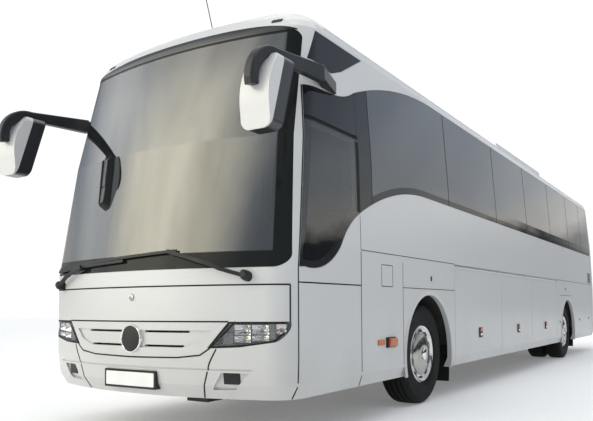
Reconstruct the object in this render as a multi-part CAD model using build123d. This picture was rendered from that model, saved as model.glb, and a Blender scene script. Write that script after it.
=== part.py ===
from build123d import *
import math
import os

# Overall sizes in millimetres; stations run rearward from the front axle line
WHEELBASE = 6910
REAR_STATION = 10180
MIRROR_FRONT = -3075
MID_STATION = (MIRROR_FRONT + REAR_STATION) / 2
WALL = 45
SEAT_GAP = 0.3
MOVE_GAP = 4
BOTTOM = 330
BODY_TOP = 3148
RAIL_HEIGHT = 1447

# Plan rows of the body, bottom to top
# height, half width, front station, front radius, corner radius, rear station
BODY_ROWS = (
    (330, 1240, -2715, 3200, 250, 10110),
    (430, 1275, -2775, 3200, 250, 10160),
    (620, 1275, -2800, 3200, 250, 10180),
    (1270, 1275, -2800, 3200, 250, 10180),
    (1447, 1275, -2763, 3250, 248, 10165),
    (2250, 1258, -2595, 3700, 235, 10095),
    (3148, 1192, -2340, 4500, 205, 9960),
)
TAIL_RADIUS = 6000
TAIL_CORNER = 420

# Roof edge, front brow, tail brow and crown circles
EDGE_X, EDGE_Z, EDGE_R = 930, 3075, 272
BROW_S, BROW_Z, BROW_R = -1899, 2911.6, 500
TAIL_S, TAIL_Z, TAIL_R = 9584, 3011.6, 400
CROWN_R = 7000
CROWN_Z = EDGE_Z - math.sqrt((CROWN_R - EDGE_R) ** 2 - EDGE_X ** 2)


def at(station):
    return station - MID_STATION


def block(x0, x1, s0, s1, z0, z1):
    size = Box(x1 - x0, s1 - s0, z1 - z0)
    return Pos((x0 + x1) / 2, at((s0 + s1) / 2), (z0 + z1) / 2) * size


def side_prism(outline, x0, x1):
    # outline is a face drawn with station across and height up
    plane = Plane(origin=(x0, at(0), 0), x_dir=(0, 1, 0), z_dir=(1, 0, 0))
    return extrude(plane * outline, amount=x1 - x0, dir=(1, 0, 0))


def front_prism(outline, s0, s1):
    # outline is a face drawn with width across and height up
    plane = Plane(origin=(0, at(s1), 0), x_dir=(1, 0, 0), z_dir=(0, -1, 0))
    return extrude(plane * outline, amount=s1 - s0, dir=(0, -1, 0))


def polygon(*points):
    return make_face(Polyline(*points, close=True))


def rounded(points, radius):
    return make_face(FilletPolyline(*points, radius=radius, close=True))


def rod_x(x0, x1, station, height, radius):
    return Pos((x0 + x1) / 2, at(station), height) * Rot(0, 90, 0) * Cylinder(radius, x1 - x0)


def rod_y(x, s0, s1, height, radius):
    return Pos(x, at((s0 + s1) / 2), height) * Rot(90, 0, 0) * Cylinder(radius, s1 - s0)


def rod_z(x, station, z0, z1, radius):
    return Pos(x, at(station), (z0 + z1) / 2) * Cylinder(radius, z1 - z0)


def polar(centre_x, centre_y, radius, degrees):
    angle = math.radians(degrees)
    return (centre_x + radius * math.cos(angle), centre_y + radius * math.sin(angle))


def plan_face(height, half_width, front, front_radius, corner_radius, rear, inset):
    corner_x = half_width - corner_radius
    lead = math.degrees(math.asin(corner_x / (front_radius - corner_radius)))
    front_y = at(front) + front_radius
    corner_y = front_y - (front_radius - corner_radius) * math.cos(math.radians(lead))
    tail_x = half_width - TAIL_CORNER
    trail = math.degrees(math.asin(tail_x / (TAIL_RADIUS - TAIL_CORNER)))
    rear_y = at(rear) - TAIL_RADIUS
    tail_y = rear_y + (TAIL_RADIUS - TAIL_CORNER) * math.cos(math.radians(trail))
    small = corner_radius - inset
    tail_small = TAIL_CORNER - inset
    side = half_width - inset
    start = polar(corner_x, corner_y, small, lead - 90)
    bend = polar(corner_x, corner_y, small, (lead - 90) / 2)
    side_front = (side, corner_y)
    side_rear = (side, tail_y)
    tail_bend = polar(tail_x, tail_y, tail_small, (90 - trail) / 2)
    tail_end = polar(tail_x, tail_y, tail_small, 90 - trail)

    def flip(point):
        return (-point[0], point[1])

    edges = Curve() + [
        ThreePointArc(flip(start), (0, at(front) + inset), start),
        ThreePointArc(start, bend, side_front),
        Line(side_front, side_rear),
        ThreePointArc(side_rear, tail_bend, tail_end),
        ThreePointArc(tail_end, (0, at(rear) - inset), flip(tail_end)),
        ThreePointArc(flip(tail_end), flip(tail_bend), flip(side_rear)),
        Line(flip(side_rear), flip(side_front)),
        ThreePointArc(flip(side_front), flip(bend), flip(start)),
    ]
    return Pos(0, 0, height) * make_face(edges)


def body_form(inset, beyond=0):
    # beyond lengthens both ends straight up and down, for cutting
    faces = [plan_face(*row, inset) for row in BODY_ROWS]
    if beyond:
        low = BODY_ROWS[0]
        high = BODY_ROWS[-1]
        faces.insert(0, plan_face(low[0] - beyond, *low[1:], inset))
        faces.append(plan_face(high[0] + beyond, *high[1:], inset))
    return loft(faces, ruled=True)


def dome_form(inset):
    faces = []
    small = EDGE_R - inset
    brow = BROW_R - inset
    tail = TAIL_R - inset
    # angle round the roof edge
    for turn in (15.57, 30, 45, 60, 75):
        height = EDGE_Z + small * math.sin(math.radians(turn))
        half = EDGE_X + small * math.cos(math.radians(turn)) + inset
        front = BROW_S - math.sqrt(brow ** 2 - (height - BROW_Z) ** 2) - inset
        rear = TAIL_S + math.sqrt(tail ** 2 - (height - TAIL_Z) ** 2) + inset
        faces.append(plan_face(height, half, front, 4500, 205, rear, inset))
    # height, half width, front station, rear station of the upper brow
    for height, half, front, rear in ((3370, 945, -2099, 9740), (3395, 915, -2027, 9690), (3430, 880, -1925, 9600)):
        faces.append(plan_face(height - inset, half, front, 4500, 205, rear, inset))
    crown = Pos(0, at(4000), CROWN_Z) * Rot(90, 0, 0) * Cylinder(CROWN_R - inset, 16000)
    return loft(faces, ruled=True) & crown


OUTER = body_form(0)
SHELL = OUTER - body_form(WALL, 30)
GLASS_LAYER = body_form(1) - body_form(9, 30)
RECESS_LAYER = body_form(-5, 30) - body_form(9 + SEAT_GAP, 40)
LEAF_LAYER = OUTER - body_form(40, 30)
DOME = dome_form(0) - dome_form(WALL)

parts = {}

# Corner seam between the front mask and the sides, seen from the side
SEAM = ((-2420, 300), (-2420, 1270), (-2250, 2650), (-2115, 3200))


def ahead_of_seam(offset):
    line = [(station + offset, height) for station, height in SEAM]
    return polygon((-3200, 300), *line, (-3200, 3200))


def behind_seam(offset, rear, z0, z1):
    line = [(station + offset, height) for station, height in SEAM]
    area = polygon(*line, (rear, 3200), (rear, 300))
    keep = Pos((rear - 3000) / 2, (z0 + z1) / 2) * Rectangle(rear + 3000, z1 - z0)
    return area & keep


# Front mask with screen pillars, front flap, grille, lamps and bumper
front_shell = SHELL & side_prism(ahead_of_seam(0), -1400, 1400)
FLAP_HALF, FLAP_LOW, FLAP_TOP = 1245, 885, 1145
flap_face = polygon((-FLAP_HALF, FLAP_LOW), (FLAP_HALF, FLAP_LOW), (FLAP_HALF, FLAP_TOP), (-FLAP_HALF, FLAP_TOP))
SCREEN = ((-1249, 1270), (1249, 1270), (1146, 3118), (-1146, 3118))
screen_face = rounded(SCREEN, 90)
screen_hole = rounded(((-1195, 1330), (1195, 1330), (1098, 3062), (-1098, 3062)), 80)
flap_cut = front_prism(offset(flap_face, SEAT_GAP, kind=Kind.INTERSECTION), -3200, -2000)
mask = front_shell & block(-1400, 1400, -3200, -1900, FLAP_LOW, BODY_TOP - SEAT_GAP)
mask = mask - flap_cut - front_prism(screen_hole, -3200, -2000)
screen_grown = front_prism(offset(screen_face, 3), -3200, -2000)
parts["front_mask"] = mask - (RECESS_LAYER & screen_grown)
parts["windscreen"] = GLASS_LAYER & front_prism(screen_face, -3200, -2000)
parts["front_flap"] = front_shell & front_prism(flap_face, -3200, -2000)

lower_front = front_shell & block(-1400, 1400, -3200, -1900, BOTTOM, FLAP_LOW - SEAT_GAP)


def lamp_outline(side):
    inner_top = (side * 850, FLAP_LOW)
    inner_low = (side * 685, 695)
    low_mid = (side * 930, 705)
    low_out = (side * 1175, 742)
    out_mid = (side * 1232, 800)
    out_top = (side * 1247, FLAP_LOW)
    line = Polyline(out_top, inner_top, inner_low, low_mid, low_out)
    curve = ThreePointArc(low_out, out_mid, out_top)
    return make_face(Curve() + [line, curve])


lens_layer = body_form(1, 30) - body_form(5, 40)
bucket_layer = body_form(5 + SEAT_GAP, 30) - body_form(105, 40)
hollow_layer = body_form(4, 30) - body_form(92, 40)
lamp_zone = side_prism(ahead_of_seam(-4), -1400, 1400)
lamp_faces = [lamp_outline(1), lamp_outline(-1)]
lamp_holes = [front_prism(offset(face, SEAT_GAP, kind=Kind.INTERSECTION), -3200, -2100) for face in lamp_faces]
lenses = []
buckets = []
for face in lamp_faces:
    prism = front_prism(face, -3200, -2200)
    inner = front_prism(offset(face, -14, kind=Kind.INTERSECTION), -3200, -2200)
    lenses.append((lens_layer & prism).solid())
    buckets.append(((bucket_layer & prism & lamp_zone) - (hollow_layer & inner)).solid())
parts["headlamp_lenses"] = Compound(lenses)
parts["headlamp_housings"] = Compound(buckets)

# Grille panel with a smile shaped lower edge and four air slots
smile = Curve() + [
    Polyline((900, FLAP_LOW + 5), (705, 693), (640, 655)),
    ThreePointArc((640, 655), (0, 624), (-640, 655)),
    Polyline((-640, 655), (-705, 693), (-900, FLAP_LOW + 5), (900, FLAP_LOW + 5)),
]
grille_face = make_face(smile)
grille_prism = front_prism(grille_face, -3200, -2200)
grille = lower_front & grille_prism
for hole in lamp_holes:
    grille = grille - hole
# sunk field between the slots, deepest in the middle of the panel
field = make_face(Curve() + [
    Polyline((-520, 704), (-640, 745), (-715, 822), (715, 822), (640, 745), (520, 704)),
    ThreePointArc((520, 704), (0, 690), (-520, 704)),
])
grille = grille - (front_prism(field, -3200, -2200) - body_form(14, 40))
# inner width, outer width, height of the air slots
for inner, outer, height in ((125, 535, 811), (125, 490, 705)):
    for side in (1, -1):
        slot = Pos(side * (inner + outer) / 2, height) * Rectangle(outer - inner, 16)
        grille = grille - front_prism(slot, -3200, -2200)
parts["grille_panel"] = grille

bumper = lower_front - front_prism(offset(grille_face, SEAT_GAP, kind=Kind.INTERSECTION), -3200, -2200)
for hole in lamp_holes:
    bumper = bumper - hole
# a crease runs across the bumper above the number plate
bumper = bumper - (block(-1040, 1010, -3200, -2300, 538, 550) - body_form(7, 40))
SEAM_X = ((770, 900), (757, 690), (700, 585), (655, 450), (612, 300))
centre_seam = [(x, z) for x, z in SEAM_X] + [(-x, z) for x, z in reversed(SEAM_X)]
centre_prism = front_prism(polygon(*centre_seam), -3200, -2200)
fog_faces = [Pos(side * 853, 482) * Rectangle(118, 82) for side in (1, -1)]
corners = bumper - centre_prism
for side, face in zip((1, -1), fog_faces):
    bay = polygon(*[(side * x, z) for x, z in ((705, 398), (880, 402), (985, 522), (785, 522))])
    corners = corners - (front_prism(bay, -3200, -2300) - body_form(20, 40))
    corners = corners - front_prism(offset(face, SEAT_GAP, kind=Kind.INTERSECTION), -3200, -2300)
centre = bumper & front_prism(offset(polygon(*centre_seam), -SEAT_GAP), -3200, -2200)
parts["front_bumper"] = Compound(centre.solids() + corners.solids())
fog_layer = body_form(12, 30) - body_form(90, 40)
parts["fog_lamps"] = Compound([(fog_layer & front_prism(face, -3200, -2300)).solid() for face in fog_faces])

# Side window band, seen from the side
BAND_LOW, BAND_TOP, BAND_REAR = 2098, 3130, 9480
PILLAR_SEAM = -1480
# first and last station of each side pane
PANES = ((-1240, 636), (644, 2426), (2434, 4026), (4034, 5656), (5664, 7206), (7214, 8516), (8524, 9480))


def band_outline(grow):
    front = PILLAR_SEAM - grow
    rear = BAND_REAR + grow
    foot = BAND_LOW - grow
    head = BAND_TOP + grow
    low = ThreePointArc((front, 1765 - grow), (-860, 1995 - grow), (-50, foot))
    top = ThreePointArc((300, head), (-560, 3052.8 + grow), (front, 2790 + grow))
    rest = Polyline((-50, foot), (rear, foot), (rear, head), (300, head))
    close = Line((front, 2790 + grow), (front, 1765 - grow))
    return make_face(Curve() + [low, rest, top, close])


band_face = band_outline(0)
bar_low, bar_top = 2385, 2415


def driver_outline(grow):
    # front edge follows the corner seam, the foot is an S curve
    front = -2408 - grow
    rear = PILLAR_SEAM - 4 + grow
    low = -grow
    top = grow
    return make_face(Curve() + [
        Line((front, 1276 + low), (-2340, 1280 + low)),
        ThreePointArc((-2340, 1280 + low), (-1975, 1340 + low), (-1800, 1484 + low)),
        ThreePointArc((-1800, 1484 + low), (-1650, 1655 + low), (rear, 1763 + low)),
        Line((rear, 1763 + low), (rear, 2788 + top)),
        ThreePointArc((rear, 2788 + top), (-1640, 2716 + top), (-1840, 2678 + top)),
        Line((-1840, 2678 + top), (front + 170, 2652 + top)),
        Line((front + 170, 2652 + top), (front, 1276 + low)),
    ])


def driver_panes(grow):
    whole = driver_outline(grow)
    low_part = Pos(-1900, 1700) * Rectangle(1300, 2 * (bar_low + grow - 1700))
    top_part = Pos(-1900, 2800) * Rectangle(1300, 2 * (2800 - bar_top + grow))
    return whole & low_part, whole & top_part


quarter_face = polygon((-2050, 3130), (-2165, 2880), (-1850, 2850), (-1680, 2915), (-1300, 3130))
inner_skin = body_form(9 + SEAT_GAP, 40)
skin = SHELL - (side_prism(band_outline(3), -1400, 1400) - inner_skin)
for x0, x1 in ((600, 1400), (-1400, -600)):
    skin = skin - (side_prism(offset(quarter_face, 3, kind=Kind.INTERSECTION), x0, x1) - inner_skin)
skin = skin - (side_prism(driver_outline(4), 600, 1400) - inner_skin)


def side_walls(side):
    x0, x1 = (0, 1400) if side > 0 else (-1400, 0)
    zone = block(x0, x1, PILLAR_SEAM + SEAT_GAP, 9500, RAIL_HEIGHT + 8, BODY_TOP - SEAT_GAP)
    wall = skin & zone
    panes = []
    for start, end in PANES:
        strip = Pos((start + end) / 2, 2500) * Rectangle(end - start, 2000)
        pane_face = band_face & strip
        pane = (GLASS_LAYER & side_prism(pane_face, x0, x1)).solid()
        panes.append(pane)
        hole = offset(pane_face, -55, kind=Kind.INTERSECTION)
        wall = wall - side_prism(hole, x0, x1)
    front_strip = band_face & (Pos((PILLAR_SEAM - 1248) / 2, 2500) * Rectangle(-1248 - PILLAR_SEAM, 2000))
    panes.append((GLASS_LAYER & side_prism(front_strip, x0, x1)).solid())
    return wall, panes


left_wall, left_panes = side_walls(1)
right_wall, right_panes = side_walls(-1)

# Driver's panel with its window and the quarter panel above it
panel_zone = side_prism(behind_seam(SEAT_GAP, PILLAR_SEAM, 1163 + SEAT_GAP, BODY_TOP - SEAT_GAP), 0, 1400)
driver_panel = skin & panel_zone
for hole in driver_panes(-50):
    driver_panel = driver_panel - side_prism(hole, 600, 1400)
parts["driver_panel"] = driver_panel
parts["side_wall_left"] = left_wall
for face in (*driver_panes(0), quarter_face):
    left_panes.append((GLASS_LAYER & side_prism(face, 600, 1400)).solid())
parts["side_glass_left"] = Compound(left_panes)

# Lower side panels with open wheel arches
ARCH_RADIUS = 600
TYRE_RADIUS = 505
arch_cuts = [rod_x(-1400, 1400, station, TYRE_RADIUS, ARCH_RADIUS) for station in (0, WHEELBASE)]


def lower_panel(side, s0, s1, z1):
    x0, x1 = (0, 1400) if side > 0 else (-1400, 0)
    return SHELL & block(x0, x1, s0, s1, BOTTOM, z1)


front_left = SHELL & side_prism(behind_seam(SEAT_GAP, PILLAR_SEAM, BOTTOM, 1163), 0, 1400)
arch_top = RAIL_HEIGHT + 8 - SEAT_GAP
arch_left = lower_panel(1, PILLAR_SEAM + SEAT_GAP, 740 - MOVE_GAP, arch_top) - arch_cuts[0]
tail_left = lower_panel(1, 5970 + MOVE_GAP, 9500, arch_top) - arch_cuts[1]
parts["lower_panels_left"] = Compound(front_left.solids() + arch_left.solids() + tail_left.solids())

# Right side: two doors between the panels
DOOR_LOW = 345
FRONT_DOOR = (-1385, 2625)
MID_DOOR = (4215, 5125, 2560)
front_door_zone = side_prism(behind_seam(MOVE_GAP * 2, FRONT_DOOR[0], DOOR_LOW, FRONT_DOOR[1]), -1400, -600)
front_door_hole = side_prism(behind_seam(-10, FRONT_DOOR[0] + 8, 200, FRONT_DOOR[1] + 8), -1400, -600)
mid_door_zone = block(-1400, -600, MID_DOOR[0], MID_DOOR[1], DOOR_LOW, MID_DOOR[2])
mid_door_hole = block(-1400, -600, MID_DOOR[0] - 8, MID_DOOR[1] + 8, 200, MID_DOOR[2] + 8)
over_door = skin & side_prism(behind_seam(SEAT_GAP, PILLAR_SEAM + 1, FRONT_DOOR[1] + 8, BODY_TOP - SEAT_GAP), -1400, -600)
right_wall = (right_wall + over_door) - front_door_hole - mid_door_hole
parts["side_wall_right"] = right_wall
trimmed = [(GLASS_LAYER & side_prism(quarter_face, -1400, -600)).solid()]
for pane in right_panes:
    kept = pane - front_door_hole - mid_door_hole
    trimmed.extend(kept.solids())
parts["side_glass_right"] = Compound(trimmed)
arch_right = lower_panel(-1, FRONT_DOOR[0] + 8, 740 - MOVE_GAP, arch_top) - arch_cuts[0]
post_right = lower_panel(-1, 4150 + MOVE_GAP, MID_DOOR[0] - 8, arch_top)
tail_right = lower_panel(-1, MID_DOOR[1] + 8, 9500, arch_top) - arch_cuts[1]
parts["lower_panels_right"] = Compound(arch_right.solids() + post_right.solids() + tail_right.solids())

# Tail with rear window, engine lid, lamps and bumper
tail_zone = block(-1400, 1400, 9500 + SEAT_GAP, 10400, BOTTOM, BODY_TOP - SEAT_GAP)
tail = SHELL & tail_zone
LID_HALF, LID_LOW, LID_TOP = 900, 640, 1560
lid_face = Pos(0, (LID_LOW + LID_TOP) / 2) * Rectangle(2 * LID_HALF, LID_TOP - LID_LOW)
lid_hole = Pos(0, (LID_LOW + LID_TOP) / 2 + 12) * Rectangle(2 * LID_HALF + 16, LID_TOP - LID_LOW + 40)
rear_pane = rounded(((-1020, 2060), (1020, 2060), (960, 2960), (-960, 2960)), 90)
rear_open = offset(rear_pane, -55)
tail = tail - front_prism(rear_open, 9600, 10400)
tail = tail - (RECESS_LAYER & front_prism(offset(rear_pane, 3), 9600, 10400))
parts["rear_window"] = GLASS_LAYER & front_prism(rear_pane, 9600, 10400)
tail_lamp_faces = [Pos(side * 1060, 1110) * Rectangle(150, 620) for side in (1, -1)]
lamp_layer = body_form(1, 30) - body_form(40, 40)
tail_lamps = []
for face in tail_lamp_faces:
    tail = tail - front_prism(offset(face, SEAT_GAP, kind=Kind.INTERSECTION), 9600, 10400)
    tail_lamps.append((lamp_layer & front_prism(face, 9600, 10400)).solid())
parts["tail_lamps"] = Compound(tail_lamps)
tail_upper = tail & block(-1400, 1400, 9400, 10400, 620 + SEAT_GAP, BODY_TOP)
rear_wall = tail_upper - front_prism(lid_hole, 9700, 10400)
parts["rear_bumper"] = tail & block(-1400, 1400, 9400, 10400, BOTTOM, 620)

# Engine lid turning up on two outside hinges along its top edge
LID_AXIS_S, LID_AXIS_Z, LID_PIN_R = 10164, 1577, 7
lid = (LEAF_LAYER & front_prism(lid_face, 9700, 10400)).solid()
for row in range(9):
    louvre = Pos(0, 800 + 60 * row) * Rectangle(1300, 22)
    lid = lid - front_prism(louvre, 9700, 10400)
lid_plate = polygon((10100, 1490), (10130, 1490), (10174, 1570), (10152, 1582), (10100, 1545))
wall_plate = polygon((10098, 1597), (10098, 1630), (10140, 1630), (10172, 1586), (10160, 1566))
for x in (-600, 600):
    knuckle = side_prism(lid_plate, x - 18, x + 18) + rod_x(x - 18, x + 18, LID_AXIS_S, LID_AXIS_Z, 13)
    lid = lid + (knuckle - rod_x(x - 20, x + 20, LID_AXIS_S, LID_AXIS_Z, LID_PIN_R + 0.05))
    rear_wall = rear_wall + rod_x(x - 44, x + 44, LID_AXIS_S, LID_AXIS_Z, LID_PIN_R)
    for x0, x1 in ((x - 44, x - 23), (x + 23, x + 44)):
        rear_wall = rear_wall + side_prism(wall_plate, x0, x1) + rod_x(x0, x1, LID_AXIS_S, LID_AXIS_Z, 13)
parts["engine_lid"] = lid
parts["rear_wall"] = rear_wall

parts["roof"] = DOME & block(-1400, 1400, -3000, 10400, BODY_TOP, 3600)

# Luggage flaps hung in a rail along each side
RAIL_X = 1275 - 12
RAIL_Z = 1424
BEAD_R = 9
left_flaps = ((740, 2540), (2540, 4150), (4150, 5970))
right_flaps = ((740, 2540), (2540, 4150))


def mirror_side(shape, side):
    if side > 0:
        return shape
    return mirror(shape, about=Plane.YZ)


def make_rail(s0, s1):
    bar = block(1275 - WALL, 1275, s0, s1, RAIL_Z - 10, RAIL_HEIGHT + 8 - SEAT_GAP)
    groove = rod_y(RAIL_X, s0 - 5, s1 + 5, RAIL_Z, BEAD_R + SEAT_GAP)
    far = 70
    left_ray = polar(RAIL_X, RAIL_Z, far, 235)
    down_ray = polar(RAIL_X, RAIL_Z, far, 270)
    mid_ray = polar(RAIL_X, RAIL_Z, far, 315)
    up_ray = polar(RAIL_X, RAIL_Z, far, 40)
    mouth = Polyline((RAIL_X, RAIL_Z), left_ray, down_ray, mid_ray, up_ray, close=True)
    plane = Plane(origin=(0, at(s0 - 5), 0), x_dir=(1, 0, 0), z_dir=(0, -1, 0))
    cut = extrude(plane * make_face(mouth), -(s1 - s0 + 10))
    return bar - groove - cut


def make_flap(s0, s1):
    top = RAIL_Z - 26
    leaf = LEAF_LAYER & block(0, 1400, s0 + MOVE_GAP, s1 - MOVE_GAP, BOTTOM, top)
    bead = rod_y(RAIL_X, s0 + MOVE_GAP, s1 - MOVE_GAP, RAIL_Z, BEAD_R)
    neck = block(RAIL_X - 3, RAIL_X + 3, s0 + MOVE_GAP, s1 - MOVE_GAP, top - 5, RAIL_Z)
    return leaf + neck + bead


for number, (s0, s1) in enumerate(left_flaps, 1):
    parts[f"luggage_flap_left_{number}"] = make_flap(s0, s1)
for number, (s0, s1) in enumerate(right_flaps, 1):
    parts[f"luggage_flap_right_{number}"] = mirror_side(make_flap(s0, s1), -1)
rail_left = make_rail(740, 5970)
rail_right = mirror_side(make_rail(740, 4150), -1)
parts["flap_rails"] = Compound([rail_left.solid(), rail_right.solid()])

# Passenger doors: leaf with glass, swung by a turning post with two arms
ARM_LENGTH = 550
POST_X = -1150
FRONT_POST = -2080
MID_POST = 4940
POST_R = 22
# height of each arm, half width of the leaf's middle there
ARM_LEVELS = ((600, 1255), (2470, 1219))


def make_door(zone, glass_outline, pivot):
    leaf = LEAF_LAYER & zone
    hole = offset(glass_outline, -60, kind=Kind.INTERSECTION)
    leaf = leaf - side_prism(hole, -1400, -600)
    leaf = leaf - (RECESS_LAYER & side_prism(offset(glass_outline, 3, kind=Kind.INTERSECTION), -1400, -600))
    pane = GLASS_LAYER & side_prism(glass_outline, -1400, -600)
    for height, reach in ARM_LEVELS:
        lug = block(-reach, POST_X - 8, pivot - 22, pivot + 22, height + 26, height + 46)
        pin = rod_z(POST_X, pivot, height - 26, height + 46, 11)
        eye = rod_z(POST_X, pivot, height + 26, height + 46, 22)
        leaf = leaf + (lug + eye + pin)
    return leaf, pane


def make_arm(post, pivot):
    bar = rod_z(POST_X, post, 520, 2500, POST_R)
    for height, _ in ARM_LEVELS:
        arm = block(POST_X - 16, POST_X + 16, min(post, pivot), max(post, pivot), height - 15, height + 15)
        eye = rod_z(POST_X, pivot, height - 15, height + 15, 26)
        hole = rod_z(POST_X, pivot, height - 20, height + 20, 11.05)
        bar = bar + ((arm + eye) - hole)
    return bar


front_glass = behind_seam(70, FRONT_DOOR[0] - 60, 740, 2440)
mid_glass = Pos((MID_DOOR[0] + MID_DOOR[1]) / 2, 1640) * Rectangle(800, 1600)
front_pivot = FRONT_POST + ARM_LENGTH
mid_pivot = MID_POST - ARM_LENGTH
leaf, pane = make_door(front_door_zone, front_glass, front_pivot)
parts["front_door"] = leaf
parts["front_door_glass"] = pane
parts["front_door_arm"] = make_arm(FRONT_POST, front_pivot)
leaf, pane = make_door(mid_door_zone, mid_glass, mid_pivot)
parts["mid_door"] = leaf
parts["mid_door_glass"] = pane
parts["mid_door_arm"] = make_arm(MID_POST, mid_pivot)

# Floors: driver's floor in front, passenger deck behind, hold floor and bulkheads below
inner_form = body_form(WALL + SEAT_GAP, 30)
deck = inner_form & block(-1400, 1400, -1300, 9900, 1290, 1350)
cab = inner_form & block(-1400, 1400, -2370, -1260, 800, 850)
cab = cab + block(-620, 620, -2620, -2360, 800, 850)
riser = inner_form & block(-1400, 1400, -1300, -1260, 800, 1350)
front_well = block(-1400, -480, -2380, -1261, 700, 900)
mid_well = block(-1400, -420, MID_DOOR[0] - 60, MID_DOOR[1] + 60, 1200, 1400)
parts["deck"] = (deck + cab + riser) - front_well - mid_well
hold_zone = block(-1225 + 20, 1225 - 20, 750, 5960, 400, 460)
hold_zone = hold_zone - block(-1400, -420, MID_DOOR[0] - 60, 6000, 300, 500)
walls = []
for station in (740, 2540, 4150, 5970):
    right = 1215
    if station > 4160:
        right = 400
    walls.append(block(-right, 1215, station - 20, station + 20, 460 + SEAT_GAP, 1290 - SEAT_GAP).solid())
parts["luggage_hold"] = Compound([hold_zone.solid()] + walls)
first = block(-1205, -480 - SEAT_GAP, -2330, -1262, 380, 420)
first = first + block(-800, -480 - SEAT_GAP, -2330, -1262, 380, 640)
first = first + block(-540, -480 - SEAT_GAP, -2330, -1262, 380, 849)
second = block(-1205, -420 - SEAT_GAP, MID_DOOR[0] - 40, MID_DOOR[1] + 50, 380, 420)
for x, top in ((-980, 660), (-760, 900), (-540, 1130)):
    second = second + block(x, -420 - SEAT_GAP, MID_DOOR[0] - 40, MID_DOOR[1] + 50, 380, top)
post_feet = rod_z(POST_X, FRONT_POST, 420, 519.7, 30)
mid_feet = rod_z(POST_X, MID_POST, 420, 519.7, 30)
parts["door_steps"] = Compound([(first + post_feet).solid(), (second + mid_feet).solid()])

# Main beams under the floor at both ends, with cross members, posts, jack pads and a towing jaw
FRONT_BEAM_X, REAR_BEAM_X = 400, 420
frames = []
for side in (1, -1):
    x = side * FRONT_BEAM_X
    frames.append(block(x - 40, x + 40, -2500, 719, 560, 700))
    frames.append(block(x - 50, x + 50, -1050, -950, 535, 560 - SEAT_GAP))
    # station, half length and top of each post on the front beam
    for station, half, top in ((-2450, 35, 800), (-1400, 35, 800), (640, 40, 1290)):
        frames.append(block(x - 35, x + 35, station - half, station + half, 700 + SEAT_GAP, top - SEAT_GAP))
    x = side * REAR_BEAM_X
    frames.append(block(x - 40, x + 40, 5991, 9800, 640, 780))
    frames.append(block(x - 50, x + 50, 7650, 7750, 615, 640 - SEAT_GAP))
    for station in (6060, 9600):
        frames.append(block(x - 35, x + 35, station - 35, station + 35, 780 + SEAT_GAP, 1290 - SEAT_GAP))
# station, half length across and foot of each cross member
CROSS = ((-2450, FRONT_BEAM_X, 560), (-1400, FRONT_BEAM_X, 560), (640, FRONT_BEAM_X, 560),
         (6060, REAR_BEAM_X, 640), (9700, REAR_BEAM_X, 640))
for station, beam_x, foot in CROSS:
    half = beam_x - 40 - SEAT_GAP
    frames.append(block(-half, half, station - 40, station + 40, foot, foot + 140))
tow_jaw = block(380, 580, -2595, -2420, 290, 350) + block(380, 440, -2500, -2420, 340, 560 - SEAT_GAP)
tow_jaw = tow_jaw - rod_z(480, -2535, 280, 360, 18)
parts["main_frames"] = Compound([shape.solid() for shape in frames] + [tow_jaw.solid()])
parts["engine_block"] = block(-380 + SEAT_GAP, 380 - SEAT_GAP, 8150, 9560, 560, 1180)

# Front axle with steered knuckles, track rod and rear axle
KING_X = 930
KING_R = 24
beam = block(-KING_X, KING_X, -60, 60, 440, 540)
for side in (1, -1):
    beam = beam + rod_z(side * KING_X, 0, 440, 570, 60)
for side in (1, -1):
    beam = beam - rod_z(side * KING_X, 0, 400, 700, KING_R + 0.05)
    beam = beam + block(side * 400 - 40, side * 400 + 40, -80, 80, 530, 560 - SEAT_GAP)
parts["front_axle"] = beam
ARM_BACK = 150
ROD_X = KING_X
PIN_R = 12


def make_knuckle(side):
    king = rod_z(side * KING_X, 0, 395, 615, KING_R)
    lower = block(side * 960 - 70, side * 960 + 70, -55, 55, 390, 430)
    upper = block(side * 960 - 70, side * 960 + 70, -55, 55, 580, 620)
    cheek = block(side * 1014 - 16, side * 1014 + 16, -55, 55, 390, 620)
    spindle = rod_x(min(side * 1000, side * 1130), max(side * 1000, side * 1130), 0, TYRE_RADIUS, 38)
    arm = polygon((side * 985, 40), (side * 915, 40), (side * (ROD_X - 22), ARM_BACK), (side * (ROD_X + 22), ARM_BACK + 6))
    plate = Pos(0, at(0), 398) * extrude(arm, 24)
    eye = rod_z(side * ROD_X, ARM_BACK, 398, 422, 28)
    hole = rod_z(side * ROD_X, ARM_BACK, 380, 440, PIN_R + 0.05)
    return (king + lower + upper + cheek + spindle + plate + eye) - hole


parts["knuckle_left"] = make_knuckle(1)
parts["knuckle_right"] = make_knuckle(-1)
track = rod_x(-ROD_X, ROD_X, ARM_BACK, 352, 18)
for side in (1, -1):
    track = track + rod_z(side * ROD_X, ARM_BACK, 330, 390, 26) + rod_z(side * ROD_X, ARM_BACK, 340, 424, PIN_R)
parts["track_rod"] = track

axle = rod_x(-700, 700, WHEELBASE, TYRE_RADIUS, 75)
axle = axle + rod_x(-150, 150, WHEELBASE, TYRE_RADIUS, 190)
axle = axle + rod_x(-1120, 1120, WHEELBASE, TYRE_RADIUS, 44)
for side in (1, -1):
    axle = axle + block(side * 420 - 45, side * 420 + 45, WHEELBASE - 130, WHEELBASE + 130, 540, 640 - SEAT_GAP)
parts["rear_axle"] = axle

# Tyres and wheels
TYRE_HALF = 146
RIM_R = 286
FRONT_TYRE_X = 1060
REAR_TYRE_X = (1060, 720)


def tyre_at(x, station):
    outline = Polyline(
        (-110, RIM_R), (-138, RIM_R + 50), (-TYRE_HALF, 390), (-136, 470), (-112, 498), (-60, TYRE_RADIUS),
        (60, TYRE_RADIUS), (112, 498), (136, 470), (TYRE_HALF, 390), (138, RIM_R + 50), (110, RIM_R), close=True)
    solid = revolve(Plane.XZ * make_face(outline), Axis.X)
    return Pos(x, at(station), TYRE_RADIUS) * solid


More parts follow.
